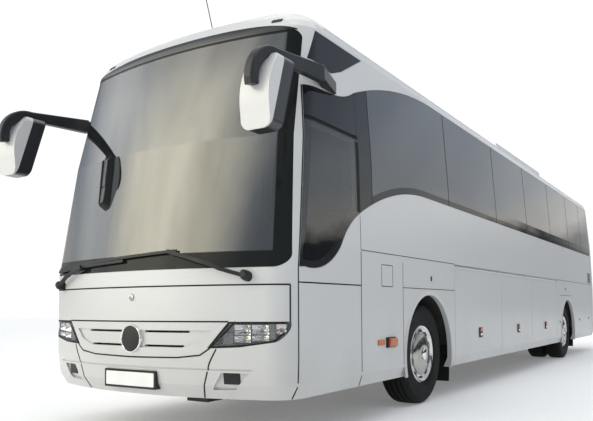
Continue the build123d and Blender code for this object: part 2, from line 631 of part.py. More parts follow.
def rim_profile(bore, disc_in, disc_out, hub_out):
    # width along the axle outward, radius; hat section with a dished disc
    return Polyline(
        (-112, RIM_R - SEAT_GAP), (-112, 262), (disc_in - 12, 250), (disc_in - 12, 120), (disc_in - 70, 110),
        (disc_in - 70, bore), (hub_out - 10, bore), (hub_out - 10, 8), (hub_out, 8), (hub_out, 80),
        (disc_out, 130), (disc_out, 246), (100, 262), (112, 275), (112, RIM_R - SEAT_GAP), close=True)


def wheel_at(x, station, side, profile):
    outline = profile if side > 0 else mirror(profile, about=Plane.YZ)
    solid = revolve(Plane.XZ * make_face(outline), Axis.X)
    return Pos(x, at(station), TYRE_RADIUS) * solid


for label, side in (("left", 1), ("right", -1)):
    parts[f"front_tyre_{label}"] = tyre_at(side * FRONT_TYRE_X, 0)
    parts[f"front_wheel_{label}"] = wheel_at(side * FRONT_TYRE_X, 0, side, rim_profile(38.05, 60, 84, 142))
    outer, inner = REAR_TYRE_X
    pair = [tyre_at(side * x, WHEELBASE).solid() for x in REAR_TYRE_X]
    parts[f"rear_tyres_{label}"] = Compound(pair)
    hub = wheel_at(side * outer, WHEELBASE, side, rim_profile(44.05, 20, 44, 130))
    ring = Polyline((-112, RIM_R - SEAT_GAP), (-112, 258), (240, 258), (240, 264), (112, 264),
                    (112, RIM_R - SEAT_GAP), close=True)
    parts[f"rear_wheel_{label}"] = hub + wheel_at(side * inner, WHEELBASE, side, ring)

# Wheel houses over the tyres
houses = []
for station in (0, WHEELBASE):
    inner_x = 470
    for side in (1, -1):
        x0, x1 = sorted((side * inner_x, side * (1275 - WALL - SEAT_GAP)))
        ring = rod_x(x0, x1, station, TYRE_RADIUS, 628) - rod_x(x0 - 5, x1 + 5, station, TYRE_RADIUS, 616)
        house = ring & block(-1300, 1300, station - 700, station + 700, TYRE_RADIUS + 60, 1300)
        houses.append(house.solid())
parts["wheel_houses"] = Compound(houses)

# Seats, dashboard, steering wheel and luggage racks
SEAT_TOP = 1350
seats = []
cushion = make_face(FilletPolyline((0, 330), (450, 330), (450, 450), (0, 450), radius=40, close=True))
back = make_face(FilletPolyline((400, 380), (500, 360), (680, 1060), (600, 1090), radius=35, close=True))
leg = make_face(Polyline((150, 0), (330, 0), (330, 340), (150, 340), close=True))
seat_side = cushion + back
# first station, seat pairs on the left, seat pairs on the right
for row in range(12):
    station = -700 + row * 790
    for x0, x1 in ((320, 1180), (-1180, -320)):
        over_well = x0 < 0 and MID_DOOR[0] - 900 < station < MID_DOOR[1] + 100
        if over_well or station < -400 and x0 < 0:
            continue
        plane = Plane(origin=(x0, at(station), SEAT_TOP + SEAT_GAP), x_dir=(0, 1, 0), z_dir=(1, 0, 0))
        body = extrude(plane * seat_side, x1 - x0)
        foot = extrude(Plane(origin=(x0 + 300, at(station), SEAT_TOP + SEAT_GAP), x_dir=(0, 1, 0), z_dir=(1, 0, 0)) * leg, 220)
        seats.append((body + foot).solid())
plane = Plane(origin=(420, at(-1990), 850 + SEAT_GAP), x_dir=(0, 1, 0), z_dir=(1, 0, 0))
driver_foot = Plane(origin=(520, at(-1990), 850 + SEAT_GAP), x_dir=(0, 1, 0), z_dir=(1, 0, 0))
driver_seat = extrude(plane * seat_side, 520) + extrude(driver_foot * leg, 320)
parts["seats"] = Compound(seats + [driver_seat.solid()])
desk_form = body_form(60, 30)
desk = desk_form & block(-1150, 1150, -2760, -2360, 905, 1240)
parts["dashboard"] = desk + block(-600, 600, -2600, -2370, 850 + SEAT_GAP, 910)
wheel_plane = Plane(origin=(680, at(-2230), 1390), x_dir=(1, 0, 0), z_dir=(0, 0.42, 0.9))
rim = Torus(235, 16)
steering = wheel_plane * (rim + Cylinder(45, 40) + Box(440, 34, 16) + Pos(0, -110, 0) * Box(34, 220, 16))
column = wheel_plane * (Pos(0, 0, -170) * Cylinder(28, 340))
parts["steering_wheel"] = (steering + column) - block(-1200, 1200, -2800, -2360 + SEAT_GAP, 800, 1240 + SEAT_GAP)
racks = []
for side in (1, -1):
    outline = polygon((760, 3085), (1151.3, 3085), (1149.5, 3110), (790, 3110), (790, 3190), (760, 3190))
    shape = front_prism(outline, -1100, 9300)
    racks.append(mirror_side(shape, side).solid())
parts["luggage_racks"] = Compound(racks)

# Roof unit, hatches and whip aerial
ROOF_UNIT = (4000, 7150)
unit_face = FilletPolyline((4000, 3330), (4130, 3610), (7000, 3620), (7150, 3330), radius=0, close=True)
unit = side_prism(make_face(unit_face), -780, 780)
unit = unit - dome_form(-SEAT_GAP)
parts["roof_unit"] = unit
hatches = []
for station in (1400, 8400):
    hatch = block(-330, 330, station - 330, station + 330, 3300, 3452) - dome_form(-SEAT_GAP)
    hatches.append(hatch.solid())
whip = Pos(0, at(-1850), 3412) * Rot(20, 0, 0) * (Pos(0, 0, 210) * Cylinder(4, 460))
base = rod_z(0, -1850, 3370, 3440, 22)
aerial = (whip + base) - dome_form(-SEAT_GAP)
parts["roof_fittings"] = Compound(hatches + [aerial.solid()])

# Outside mirrors: each head hangs behind an arm that runs forward along the side and bends down
MIRROR_X, ARM_HALF, HEAD_HALF = 1320, 36, 116
MIRROR_TOP, MIRROR_LOW = 2650, 2125


def make_mirror(side):
    horn = make_face(Curve() + [
        Line((-2170, 2790), (-2780, 2716)),
        ThreePointArc((-2780, 2716), (-2995, 2634), (MIRROR_FRONT, 2440)),
        Line((MIRROR_FRONT, 2440), (-3066, 2392)),
        Line((-3066, 2392), (-2992, 2408)),
        ThreePointArc((-2992, 2408), (-2946, 2566), (-2790, 2636)),
        Line((-2790, 2636), (-2170, 2664)),
        Line((-2170, 2664), (-2170, 2790)),
    ])
    bow = side_prism(horn, MIRROR_X - ARM_HALF, MIRROR_X + ARM_HALF)
    bow = fillet(bow.edges().filter_by(lambda edge: abs(edge.center().X - MIRROR_X) > ARM_HALF - 6), 16)
    plan = polygon((MIRROR_X - ARM_HALF, -2260), (MIRROR_X + ARM_HALF, -2260), (MIRROR_X + ARM_HALF, -2190),
                   (1250, -1830), (1150, -1830), (MIRROR_X - ARM_HALF, -2170))
    foot = extrude(Pos(0, at(0), 2682) * plan, 92)
    arm = ((bow + foot) - body_form(-SEAT_GAP, 30)).solids().sort_by(SortBy.VOLUME)[-1]
    face = rounded(((MIRROR_X - HEAD_HALF, MIRROR_LOW), (MIRROR_X + HEAD_HALF, MIRROR_LOW),
                    (MIRROR_X + HEAD_HALF, MIRROR_TOP), (MIRROR_X - HEAD_HALF, MIRROR_TOP)), 62)
    depth = make_face(Curve() + [
        Line((-2870, 2110), (-2700, 2660)),
        Line((-2700, 2660), (-2850, 2660)),
        ThreePointArc((-2850, 2660), (-2970, 2500), (-3000, 2250)),
        Line((-3000, 2250), (-2985, 2110)),
        Line((-2985, 2110), (-2870, 2110)),
    ])
    seat = side_prism(offset(horn, SEAT_GAP, kind=Kind.INTERSECTION), MIRROR_X - ARM_HALF - SEAT_GAP,
                      MIRROR_X + ARM_HALF + SEAT_GAP)
    head = (front_prism(face, -3100, -2600) & side_prism(depth, 1100, 1600)) - seat
    return mirror_side(arm, side), mirror_side(head.solid(), side)


mirror_pairs = [make_mirror(1), make_mirror(-1)]
parts["mirror_arms"] = Compound([arm for arm, head in mirror_pairs])
parts["mirrors"] = Compound([head for arm, head in mirror_pairs])

os.makedirs("parts", exist_ok=True)
for name, shape in parts.items():
    export_step(shape, f"parts/{name}.step")
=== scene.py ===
"""Looks of a white touring coach: paint, glass, lamps, trim, seats, wheels, light and camera."""
from math import copysign, cos, dist, pi, radians, sin

import bmesh
import bpy
from mathutils import Matrix, Vector
from mathutils.bvhtree import BVHTree


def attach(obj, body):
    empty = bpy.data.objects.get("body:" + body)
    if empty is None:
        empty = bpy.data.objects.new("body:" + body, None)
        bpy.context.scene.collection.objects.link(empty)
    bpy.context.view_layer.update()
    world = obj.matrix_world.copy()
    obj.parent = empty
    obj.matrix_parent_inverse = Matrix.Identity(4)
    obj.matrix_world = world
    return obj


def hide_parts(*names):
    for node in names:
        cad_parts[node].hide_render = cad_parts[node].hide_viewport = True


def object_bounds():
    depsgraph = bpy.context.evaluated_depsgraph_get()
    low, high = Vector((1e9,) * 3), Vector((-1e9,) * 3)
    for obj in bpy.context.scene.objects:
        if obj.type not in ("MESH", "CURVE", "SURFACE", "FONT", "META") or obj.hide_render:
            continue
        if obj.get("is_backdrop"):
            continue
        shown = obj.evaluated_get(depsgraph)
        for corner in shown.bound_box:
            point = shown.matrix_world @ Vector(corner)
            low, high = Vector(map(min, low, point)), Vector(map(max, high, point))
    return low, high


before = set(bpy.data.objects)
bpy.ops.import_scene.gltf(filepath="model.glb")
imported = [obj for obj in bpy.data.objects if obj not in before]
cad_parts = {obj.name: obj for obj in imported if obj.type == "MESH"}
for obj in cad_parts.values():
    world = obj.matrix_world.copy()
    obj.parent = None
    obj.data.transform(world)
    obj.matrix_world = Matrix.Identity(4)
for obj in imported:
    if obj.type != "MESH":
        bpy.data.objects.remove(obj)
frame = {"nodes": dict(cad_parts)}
cad_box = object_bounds()
nodes = frame["nodes"]

# Frame: x to the bus's left, y to its tail, z up. Stations are measured from the front axle.
LEFTWARD = Vector((1, 0, 0))
BACKWARD = Vector((0, 1, 0))
UPWARD = Vector((0, 0, 1))
MID_STATION = 3.5525
HALF_WIDTH = 1.275
WHEELBASE = 6.91
TYRE_RADIUS = 0.505
WHEEL_X = 1.060
TWIN_X = 0.720
SIDES = (("left", 1), ("right", -1))
AXLES = (("front", 0), ("rear", WHEELBASE))


def at(station):
    return station - MID_STATION


# Shader helpers


def operator(operation):
    # a method that works out an operation on a field and another field or plain number
    def method(self, other):
        return self.calculate(operation, self, other)

    return method


class Field:
    """A value that varies over a surface or the sky: an output of one of its owner's nodes."""

    __add__ = operator("ADD")
    __sub__ = operator("SUBTRACT")
    __mul__ = operator("MULTIPLY")
    __pow__ = operator("POWER")
    __lt__ = operator("LESS_THAN")
    __gt__ = operator("GREATER_THAN")
    # for two masks, where either holds
    __or__ = operator("MAXIMUM")

    def __init__(self, owner, socket):
        self.owner = owner
        self.socket = socket

    def __rsub__(self, other):
        return self.calculate("SUBTRACT", other, self)

    def __neg__(self):
        return self * -1

    def calculate(self, operation, *terms):
        return add_node(self.owner, "Math", dict(enumerate(terms)), "Value", operation=operation)

    def remap(self, start, end, low=0.0, high=1.0, kind="LINEAR"):
        # low where the number is at start, high where it is at end
        ends = {"From Min": start, "From Max": end, "To Min": low, "To Max": high}
        return add_node(self.owner, "MapRange", {"Value": self, **ends}, "Result", interpolation_type=kind)

    def step(self, start, end):
        return self.remap(start, end, kind="SMOOTHSTEP")

    def ramp(self, *stops):
        # a colour that runs through stops of (place, colour)
        result = add_node(self.owner, "ValToRGB", {"Fac": self}, "Color")
        points = result.socket.node.color_ramp.elements
        while len(points) < len(stops):
            points.new(0.5)
        for point, (place, colour) in zip(points, stops):
            point.position = place
            point.color = (*colour, 1.0)
        return result


def connect(target, value):
    # a field is linked to the socket, a plain value is set on it
    if isinstance(value, Field):
        value.owner.node_tree.links.new(value.socket, target)
    elif target.type == "RGBA":
        target.default_value = (*value, 1.0)
    else:
        target.default_value = value


def add_node(owner, kind, inputs, output, **settings):
    # a new node, given back as the field that one of its outputs makes
    node = owner.node_tree.nodes.new("ShaderNode" + kind)
    for key, value in settings.items():
        setattr(node, key, value)
    for key, value in inputs.items():
        connect(node.inputs[key], value)
    return Field(owner, node.outputs[output])


def new_material(name, **sockets):
    material = bpy.data.materials.new(name)
    material.use_nodes = True
    for key, value in sockets.items():
        connect(shader_input(material, key.replace("_", " ")), value)
    return material


def shader_input(material, socket):
    return material.node_tree.nodes["Principled BSDF"].inputs[socket]


def noise(owner, scale, detail=4.0, stretch=(1, 1, 1), place="Object", swirl=0.0):
    source = add_node(owner, "TexCoord", {}, place)
    mapped = add_node(owner, "Mapping", {"Vector": source, "Scale": stretch}, "Vector")
    sizes = {"Scale": scale, "Detail": detail, "Distortion": swirl}
    return add_node(owner, "TexNoise", {"Vector": mapped, **sizes}, "Fac")


def parts_of(owner, kind="TexCoord", output="Object"):
    source = add_node(owner, kind, {}, output)
    split = add_node(owner, "SeparateXYZ", {"Vector": source}, "X").socket.node
    return [Field(owner, split.outputs[axis]) for axis in "XYZ"]


def mix(mask, before, after, blend="MIX"):
    # before where the mask is nought, after where it is one
    colours = {"Factor": mask, "A": before, "B": after}
    return add_node(before.owner, "Mix", colours, "Result", data_type="RGBA", blend_type=blend)


def mix_in(mask, colour):
    # lays a colour over the present base colour where the mask is one
    base = shader_input(mask.owner, "Base Color")
    before = Field(mask.owner, base.links[0].from_socket)
    connect(base, mix(mask, before, colour))


def vary_colour(field, low, high, span=(0.35, 0.65)):
    connect(shader_input(field.owner, "Base Color"), field.ramp((span[0], low), (span[1], high)))


# where most of a noise lies
NOISE_SPAN = (0.3, 0.7)


def drive(field, socket, low, high, span=(0.0, 1.0)):
    connect(shader_input(field.owner, socket), field.remap(*span, low, high))


def add_bump(field, distance, strength=0.5):
    inputs = {"Height": field, "Distance": distance, "Strength": strength}
    connect(shader_input(field.owner, "Normal"), add_node(field.owner, "Bump", inputs, "Normal"))


def moulded(name, low, high, rough, scale=260.0, grain=0.0004, sheen=0.22):
    material = new_material(name, Specular_IOR_Level=sheen)
    vary_colour(noise(material, 3.0), low, high)
    fine = noise(material, scale, 2.0)
    drive(fine, "Roughness", rough - 0.06, rough + 0.06, NOISE_SPAN)
    add_bump(fine, grain, 0.35)
    return material


def metal(name, low, high, rough, scale=40.0):
    material = new_material(name, Metallic=1.0)
    cloudy = noise(material, scale)
    vary_colour(cloudy, low, high)
    drive(cloudy, "Roughness", max(rough - 0.05, 0.02), rough + 0.05, NOISE_SPAN)
    return material


def lamp_lens(name, low, high):
    material = new_material(name, Specular_IOR_Level=0.7)
    vary_colour(noise(material, 120.0, 1.0), low, high)
    drive(noise(material, 90.0), "Roughness", 0.08, 0.16, NOISE_SPAN)
    return material


def woven(name, low, high, threads):
    # two crossed sets of threads, and flecks of a second yarn
    material = new_material(name, Roughness=0.92, Sheen_Weight=0.35, Sheen_Roughness=0.4)
    threading = {"Vector": add_node(material, "TexCoord", {}, "Object"), "Scale": threads, "Distortion": 0.4}
    warp, weft = [add_node(material, "TexWave", threading, "Fac", bands_direction=axis) for axis in "YZ"]
    add_bump(warp * weft, 0.001)
    vary_colour(noise(material, 60.0, 6.0), low, high, (0.42, 0.58))
    return material


# Mesh helpers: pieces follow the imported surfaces, found by rays that start clear of the coach
SIDE_FAR, END_FAR, TOP_FAR = 3, 12, 6


def cast(surface, origin, direction, spread=0.0015):
    # four rays close together, so that none is lost in the gap between two panels
    origin = Vector(origin)
    direction = Vector(direction)
    found = []
    for a in (-spread, spread):
        for b in (-spread, spread):
            shift = Vector((a, a, b)) - direction * Vector((a, a, b)).dot(direction)
            point, normal, _, distance = surface.ray_cast(origin + shift, direction)
            if point is not None:
                found.append((distance, normal))
    if not found:
        return None
    distance, normal = min(found, key=lambda hit: hit[0])
    if normal.dot(direction) > 0:
        normal = -normal
    return origin + direction * distance, normal


def skin(aim, *names):
    # a function that gives the point and the normal where a ray aimed at a place meets these nodes
    points = []
    faces = []
    for name in names:
        mesh = nodes[name].data
        start = len(points)
        points.extend(vertex.co.copy() for vertex in mesh.vertices)
        faces.extend([start + index for index in face.vertices] for face in mesh.polygons)
    surface = BVHTree.FromPolygons(points, faces)

    def meet(a, b):
        return cast(surface, *aim(a, b))

    return meet


def from_left(station, height):
    return (SIDE_FAR, at(station), height), (-1, 0, 0)


def from_right(station, height):
    return (-SIDE_FAR, at(station), height), (1, 0, 0)


def from_front(x, height):
    return (x, -END_FAR, height), (0, 1, 0)


def from_rear(x, height):
    return (x, END_FAR, height), (0, -1, 0)


def from_top(x, station):
    return (x, at(station), TOP_FAR), (0, 0, -1)


def joined(*meshes):
    points = []
    faces = []
    for more_points, more_faces in meshes:
        start = len(points)
        points.extend(more_points)
        faces.extend([start + index for index in face] for face in more_faces)
    return points, faces


def piece(name, material, *meshes, body="coach", slot=None, smooth=40):
    mesh = bpy.data.meshes.new(name)
    points, faces = joined(*meshes)
    mesh.from_pydata([tuple(point) for point in points], [], faces)
    work = bmesh.new()
    work.from_mesh(mesh)
    bmesh.ops.remove_doubles(work, verts=work.verts, dist=1e-6)
    bmesh.ops.recalc_face_normals(work, faces=work.faces)
    work.to_mesh(mesh)
    work.free()
    mesh.materials.append(material)
    if smooth:
        mesh.shade_smooth()
        mesh.set_sharp_from_angle(angle=radians(smooth))
    item = bpy.data.objects.new(name, mesh)
    bpy.context.scene.collection.objects.link(item)
    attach(item, body)
    slot = slot or SLOTS.get(material)
    return item


def sealing(name, *meshes):
    piece(name, seal, *meshes, smooth=0)


def sweep(rings, closed=False):
    # rings of equal length, joined in order; the open ends are capped
    points = [point for ring in rings for point in ring]
    count = len(rings[0])
    faces = []
    turns = len(rings) if closed else len(rings) - 1
    for turn in range(turns):
        a = turn * count
        b = (turn + 1) % len(rings) * count
        for step in range(count):
            after = (step + 1) % count
            faces.append((a + step, a + after, b + after, b + step))
    if not closed:
        faces.append(tuple(range(count))[::-1])
        faces.append(tuple(range(len(points) - count, len(points))))
    return points, faces


def strip(hits, width, proud, sink=0.002, taper=0.7):
    # a low rib along points on a surface, its top narrowed by the taper
    rings = []
    for step, (point, normal) in enumerate(hits):
        before = hits[max(step - 1, 0)][0]
        after = hits[min(step + 1, len(hits) - 1)][0]
        across = (after - before).cross(normal).normalized() * (width / 2)
        low = point - normal * sink
        top = point + normal * proud
        rings.append((low - across, low + across, top + across * taper, top - across * taper))
    return sweep(rings)


def bar(hits, width, height):
    return strip(hits, width, height / 2, height / 2, 1.0)


def along(start, end, step):
    count = max(int(dist(start, end) / step), 1)
    return [tuple(a + (b - a) * turn / count for a, b in zip(start, end)) for turn in range(count + 1)]


def seam(meet, corners, width, proud=0.0008, step=0.04, sink=0.002):
    places = [corners[0]]
    for start, end in zip(corners, corners[1:]):
        places.extend(along(start, end, step)[1:])
    hits = [meet(*place) for place in places]
    return strip([hit for hit in hits if hit], width, proud, sink)


def rounded_box(half_width, half_height, radius, steps=4):
    points = []
    for turn, (cx, cy) in enumerate(((1, 1), (-1, 1), (-1, -1), (1, -1))):
        for step in range(steps + 1):
            angle = pi / 2 * (turn + step / steps)
            points.append((cx * (half_width - radius) + radius * cos(angle),
                           cy * (half_height - radius) + radius * sin(angle)))
    return points


def patch(meet, centre, half, radius, thickness, edge=0.003, sink=0.004, steps=4):
    # a raised plate with round corners that lies on a surface, its edge rounded off
    hits = [meet(centre[0] + a, centre[1] + b) for a, b in rounded_box(*half, radius, steps)]
    middle = sum((point for point, _ in hits), Vector()) / len(hits)
    low = []
    wall = []
    top = []
    for point, normal in hits:
        inward = middle - point
        inward -= normal * inward.dot(normal)
        low.append(point - normal * sink)
        wall.append(point + normal * (thickness - edge))
        top.append(point + normal * thickness + inward.normalized() * edge)
    return sweep([low, wall, top])


def ring_about(centre, across, upward, radius, turns):
    angles = [2 * pi * turn / turns for turn in range(turns)]
    return [centre + (across * cos(angle) + upward * sin(angle)) * radius for angle in angles]


def disc(centre, outward, upward, profile, turns=40):
    # rows of (distance outward, radius), turned about a centre
    return sweep([ring_about(centre + outward * reach, LEFTWARD, upward, radius, turns)
                  for reach, radius in profile])


def tube(path, radius, turns=20):
    rings = []
    for step, point in enumerate(path):
        forward = (path[min(step + 1, len(path) - 1)] - path[max(step - 1, 0)]).normalized()
        across = forward.cross(UPWARD).normalized()
        rings.append(ring_about(point, across, across.cross(forward), radius, turns))
    return sweep(rings)


def about_axle(x, station, radius, angle):
    return Vector((x, at(station) + radius * cos(angle), TYRE_RADIUS + radius * sin(angle)))


def lathe(profile, side, station, turns=72):
    # rows of (distance outward from the wheel's middle, radius), turned about the axle
    rings = []
    for turn in range(turns):
        angle = 2 * pi * turn / turns
        rings.append([about_axle(side * (WHEEL_X + reach), station, radius, angle)
                      for reach, radius in profile])
    return sweep(rings, closed=True)


def box_mesh(low, high):
    (x0, y0, z0), (x1, y1, z1) = low, high
    ring = [Vector((x0, y0, z0)), Vector((x1, y0, z0)), Vector((x1, y1, z0)), Vector((x0, y1, z0))]
    return sweep([ring, [point + UPWARD * (z1 - z0) for point in ring]])


def slab(place, rows, columns, shift):
    # a closed sheet: a grid placed by its shares across and up, the same grid shifted, and the rim between
    wide = columns + 1
    front = [place(column / columns, row / rows) for row in range(rows + 1) for column in range(wide)]
    points = front + [point + shift for point in front]
    back = len(front)
    faces = []
    for row in range(rows):
        for column in range(columns):
            a = row * wide + column
            quad = (a, a + 1, a + wide + 1, a + wide)
            faces.append(quad)
            faces.append(tuple(back + index for index in reversed(quad)))
    rim = list(range(wide))
    rim += [row * wide + columns for row in range(1, rows + 1)]
    rim += [rows * wide + column for column in range(columns - 1, -1, -1)]
    rim += [row * wide for row in range(rows - 1, 0, -1)]
    for step, index in enumerate(rim):
        after = rim[(step + 1) % len(rim)]
        faces.append((after, index, back + index, back + after))
    return points, faces


# Body paint, greyed towards the ground by painted shade in a cloudy pattern, which offsets the light thrown
# up from the floor
SHADE_TOP, SHADE_FOOT = 1.35, 0.30


def body_paint(name):
    material = new_material(name, Coat_Weight=0.5, Coat_Roughness=0.2, Specular_IOR_Level=0.4)
    vary_colour(noise(material, 1.1, 6.0, (1, 0.5, 1)), (0.62, 0.625, 0.63), (0.68, 0.68, 0.67), (0.0, 1.0))
    drive(noise(material, 2.0, 3.0), "Roughness", 0.30, 0.38)
    _, _, height = parts_of(material)
    ground_shade = (-height).step(-SHADE_TOP, -SHADE_FOOT)
    cloudy = ground_shade * (noise(material, 1.6, 3.0) + 0.35)
    # painted shade: a cloudy grey laid over the paint low on the body
    mix_in(cloudy * 0.42, (0.34, 0.335, 0.32))
    return material


def line_inside(material, colour):
    # faces that look into the cabin carry a lining colour; gives how far a face looks to the tail
    x, _, _ = parts_of(material)
    nx, ny, nz = parts_of(material, "NewGeometry", "True Normal")
    inward = -(x.calculate("SIGN", x) * nx)
    mix_in((inward | -nz).step(0.3, 0.5), colour)
    return ny


LINING_GREY, LINING_BLACK = (0.10, 0.10, 0.105), (0.02, 0.02, 0.022)
paint = body_paint("white_paint")
lined_paint = body_paint("white_paint_lined")
line_inside(lined_paint, LINING_GREY)
mask_paint = body_paint("white_paint_mask")
rearward = line_inside(mask_paint, LINING_BLACK)
mix_in(rearward.step(0.15, 0.35), LINING_BLACK)

# Mirror heads: white caps, black towards the back face, which leans to the tail
HEAD_BACK, HEAD_FOOT = -2.870, 2.110
HEAD_LEAN = 0.170 / 0.550
CAP_EDGE = 0.112


def mirror_back(height):
    return at(HEAD_BACK) + HEAD_LEAN * (height - HEAD_FOOT)


cap_paint = body_paint("white_paint_cap")
_, cap_y, cap_z = parts_of(cap_paint)
cap_end = mirror_back(0) - CAP_EDGE
mix_in((cap_y - cap_z * HEAD_LEAN).step(cap_end, cap_end + 0.002), (0.020, 0.022, 0.026))

# Side glass: dark, with a black border along its foot and a clearer driver's pane
TINT, DRIVER_TINT = 0.93, 0.62
BAR_Z = 2.40
BORDER = 0.062
PANE_FOOT, PANE_SPRING = 2.098, -0.05
DRIVER_REAR, FIRST_PANE, PANEL_REAR = -1.484, -1.236, -1.29


def dark_glass(name):
    material = new_material(name, Specular_IOR_Level=1.0, Coat_Weight=0.7, Alpha=TINT)
    vary_colour(noise(material, 0.8), (0.008, 0.010, 0.013), (0.016, 0.019, 0.023))
    drive(noise(material, 5.0), "Roughness", 0.01, 0.04)
    return material


def circle_through(first, second, third):
    (ax, ay), (bx, by), (cx, cy) = first, second, third
    turn = 2 * (ax * (by - cy) + bx * (cy - ay) + cx * (ay - by))
    a, b, c = ax * ax + ay * ay, bx * bx + by * by, cx * cx + cy * cy
    x = (a * (by - cy) + b * (cy - ay) + c * (ay - by)) / turn
    y = (a * (cx - bx) + b * (ax - cx) + c * (bx - ax)) / turn
    return x, y, dist((x, y), first)


door_glass = dark_glass("door_glass")
tinted = dark_glass("tinted_glass")
_, glass_y, glass_z = parts_of(tinted)
hump_y, hump_z, hump_radius = circle_through(
    (at(-1.48), 1.765), (at(-0.86), 1.995), (at(PANE_SPRING), PANE_FOOT))
reach = (glass_y - hump_y) ** 2 + (glass_z - hump_z) ** 2
over_hump = reach.calculate("SQRT", reach) - hump_radius
on_hump = glass_y < at(PANE_SPRING)
above_edge = on_hump * over_hump + (1 - on_hump) * (glass_z - PANE_FOOT)
behind_driver = glass_y > at(DRIVER_REAR)
pane_border = ((above_edge < BORDER) | (glass_y < at(FIRST_PANE))) * behind_driver
driver_pane = (1 - behind_driver) * (glass_z < BAR_Z)
upper_panel = (glass_y < at(PANEL_REAR)) * (glass_z > BAR_Z)
dull = pane_border | upper_panel
drive(driver_pane, "Alpha", TINT, DRIVER_TINT)
drive(dull, "Specular IOR Level", 1.0, 0.38)
drive(dull, "Coat Weight", 0.7, 0.12)

# Windscreen: black border, drawn in towards the head, and a darker shade band under the head
SCREEN_FOOT, SCREEN_LEAN = 1.270, 0.0557
clear = new_material("screen_glass", Specular_IOR_Level=1.0, Coat_Weight=1.0, Coat_Roughness=0.02)
vary_colour(noise(clear, 0.7), (0.010, 0.012, 0.012), (0.018, 0.020, 0.019))
drive(noise(clear, 4.0), "Roughness", 0.015, 0.035, NOISE_SPAN)
screen_x, _, screen_z = parts_of(clear)
spread = screen_x.calculate("ABSOLUTE", screen_x) + (screen_z - SCREEN_FOOT) * SCREEN_LEAN
border = spread.step(1.150, 1.156) | (-screen_z).step(-1.392, -1.382) | screen_z.step(3.085, 3.095)
shaded = border | screen_z.step(2.70, 3.08) * 0.30
drive(shaded, "Alpha", 0.80, 1.0)
drive(shaded, "Specular IOR Level", 1.0, 0.12)
drive(shaded, "Coat Weight", 1.0, 0.0)

# Lenses, metals, plastics and cloth
lens = new_material("clear_lens", Alpha=0.16, Specular_IOR_Level=1.0)
vary_colour(noise(lens, 9.0), (0.16, 0.18, 0.19), (0.24, 0.26, 0.27))
drive(noise(lens, 40.0), "Roughness", 0.03, 0.07, NOISE_SPAN)
amber = lamp_lens("amber_lens", (0.40, 0.075, 0.012), (0.56, 0.12, 0.016))
red = lamp_lens("red_lens", (0.36, 0.012, 0.012), (0.52, 0.02, 0.018))
mirror_silver = metal("mirror_silver", (0.82, 0.83, 0.84), (0.88, 0.89, 0.90), 0.06)
chrome = metal("chrome", (0.78, 0.78, 0.78), (0.88, 0.88, 0.87), 0.08)
# a darker copy of chrome: painted shade that dims the bright reflections on the flap lock and the wheel
# domes
shaded_chrome = metal("shaded_chrome", (0.34, 0.335, 0.32), (0.44, 0.43, 0.41), 0.14, 8.0)
polished = metal("polished_wheel", (0.60, 0.61, 0.62), (0.74, 0.74, 0.74), 0.16, 12.0)
steel = metal("steel", (0.36, 0.36, 0.37), (0.50, 0.50, 0.50), 0.38)
alloy = metal("aluminium", (0.62, 0.63, 0.64), (0.74, 0.74, 0.75), 0.32)
iron = metal("cast_iron", (0.10, 0.10, 0.10), (0.17, 0.16, 0.15), 0.62, 90.0)
frit = moulded("black_border", (0.006, 0.006, 0.007), (0.010, 0.010, 0.011), 0.12, sheen=0.5)
black = moulded("black_plastic", (0.014, 0.014, 0.015), (0.026, 0.026, 0.027), 0.42)
lamp_body = moulded("lamp_body", (0.045, 0.047, 0.050), (0.075, 0.078, 0.082), 0.40)
grey = moulded("grey_plastic", (0.16, 0.165, 0.17), (0.21, 0.215, 0.22), 0.55)
arm_grey = moulded("mirror_arm", (0.020, 0.022, 0.026), (0.034, 0.036, 0.040), 0.36)
seal = moulded("rubber_seal", (0.010, 0.010, 0.010), (0.018, 0.018, 0.018), 0.66)
chassis = moulded("chassis_black", (0.018, 0.018, 0.018), (0.040, 0.038, 0.036), 0.62, 30.0, 0.001)
rubber = moulded("tyre_rubber", (0.006, 0.006, 0.006), (0.013, 0.013, 0.0125), 0.72, 60.0, 0.0008)
plate_white = moulded("blank_plate", (0.80, 0.80, 0.79), (0.86, 0.86, 0.85), 0.30)
leather = moulded("seat_leather", (0.030, 0.030, 0.034), (0.050, 0.050, 0.054), 0.48, 320.0, 0.0006)
fabric = woven("seat_fabric", (0.030, 0.040, 0.075), (0.075, 0.095, 0.16), 420.0)
carpet = woven("floor_covering", (0.10, 0.10, 0.105), (0.17, 0.17, 0.175), 250.0)

# The nodes that wear each material; the others wear plain paint
LOOKS = {
    lined_paint: ("driver_panel", "side_wall_left", "side_wall_right", "roof", "rear_wall", "front_door",
                  "mid_door"),
    mask_paint: ("front_mask",),
    cap_paint: ("mirrors",),
    tinted: ("side_glass_left", "side_glass_right"),
    door_glass: ("rear_window", "mid_door_glass", "front_door_glass"),
    clear: ("windscreen",),
    lens: ("headlamp_lenses",),
    lamp_body: ("headlamp_housings",),
    black: ("fog_lamps", "roof_fittings", "steering_wheel", "dashboard"),
    arm_grey: ("mirror_arms",),
    red: ("tail_lamps",),
    rubber: ("front_tyre_left", "front_tyre_right", "rear_tyres_left", "rear_tyres_right"),
    polished: ("front_wheel_left", "front_wheel_right", "rear_wheel_left", "rear_wheel_right"),
    chassis: ("main_frames", "wheel_houses", "luggage_hold"),
    iron: ("front_axle", "rear_axle", "engine_block", "knuckle_left", "knuckle_right"),
    steel: ("track_rod", "front_door_arm", "mid_door_arm"),
    alloy: ("flap_rails",),
    fabric: ("seats",),
    carpet: ("deck", "door_steps"),
    grey: ("luggage_racks",),
}
looks = dict.fromkeys(nodes, paint)
looks.update((name, material) for material, names in LOOKS.items() for name in names)
for name, material in looks.items():
    worn = nodes[name].data.materials
    worn.clear()
    worn.append(material)
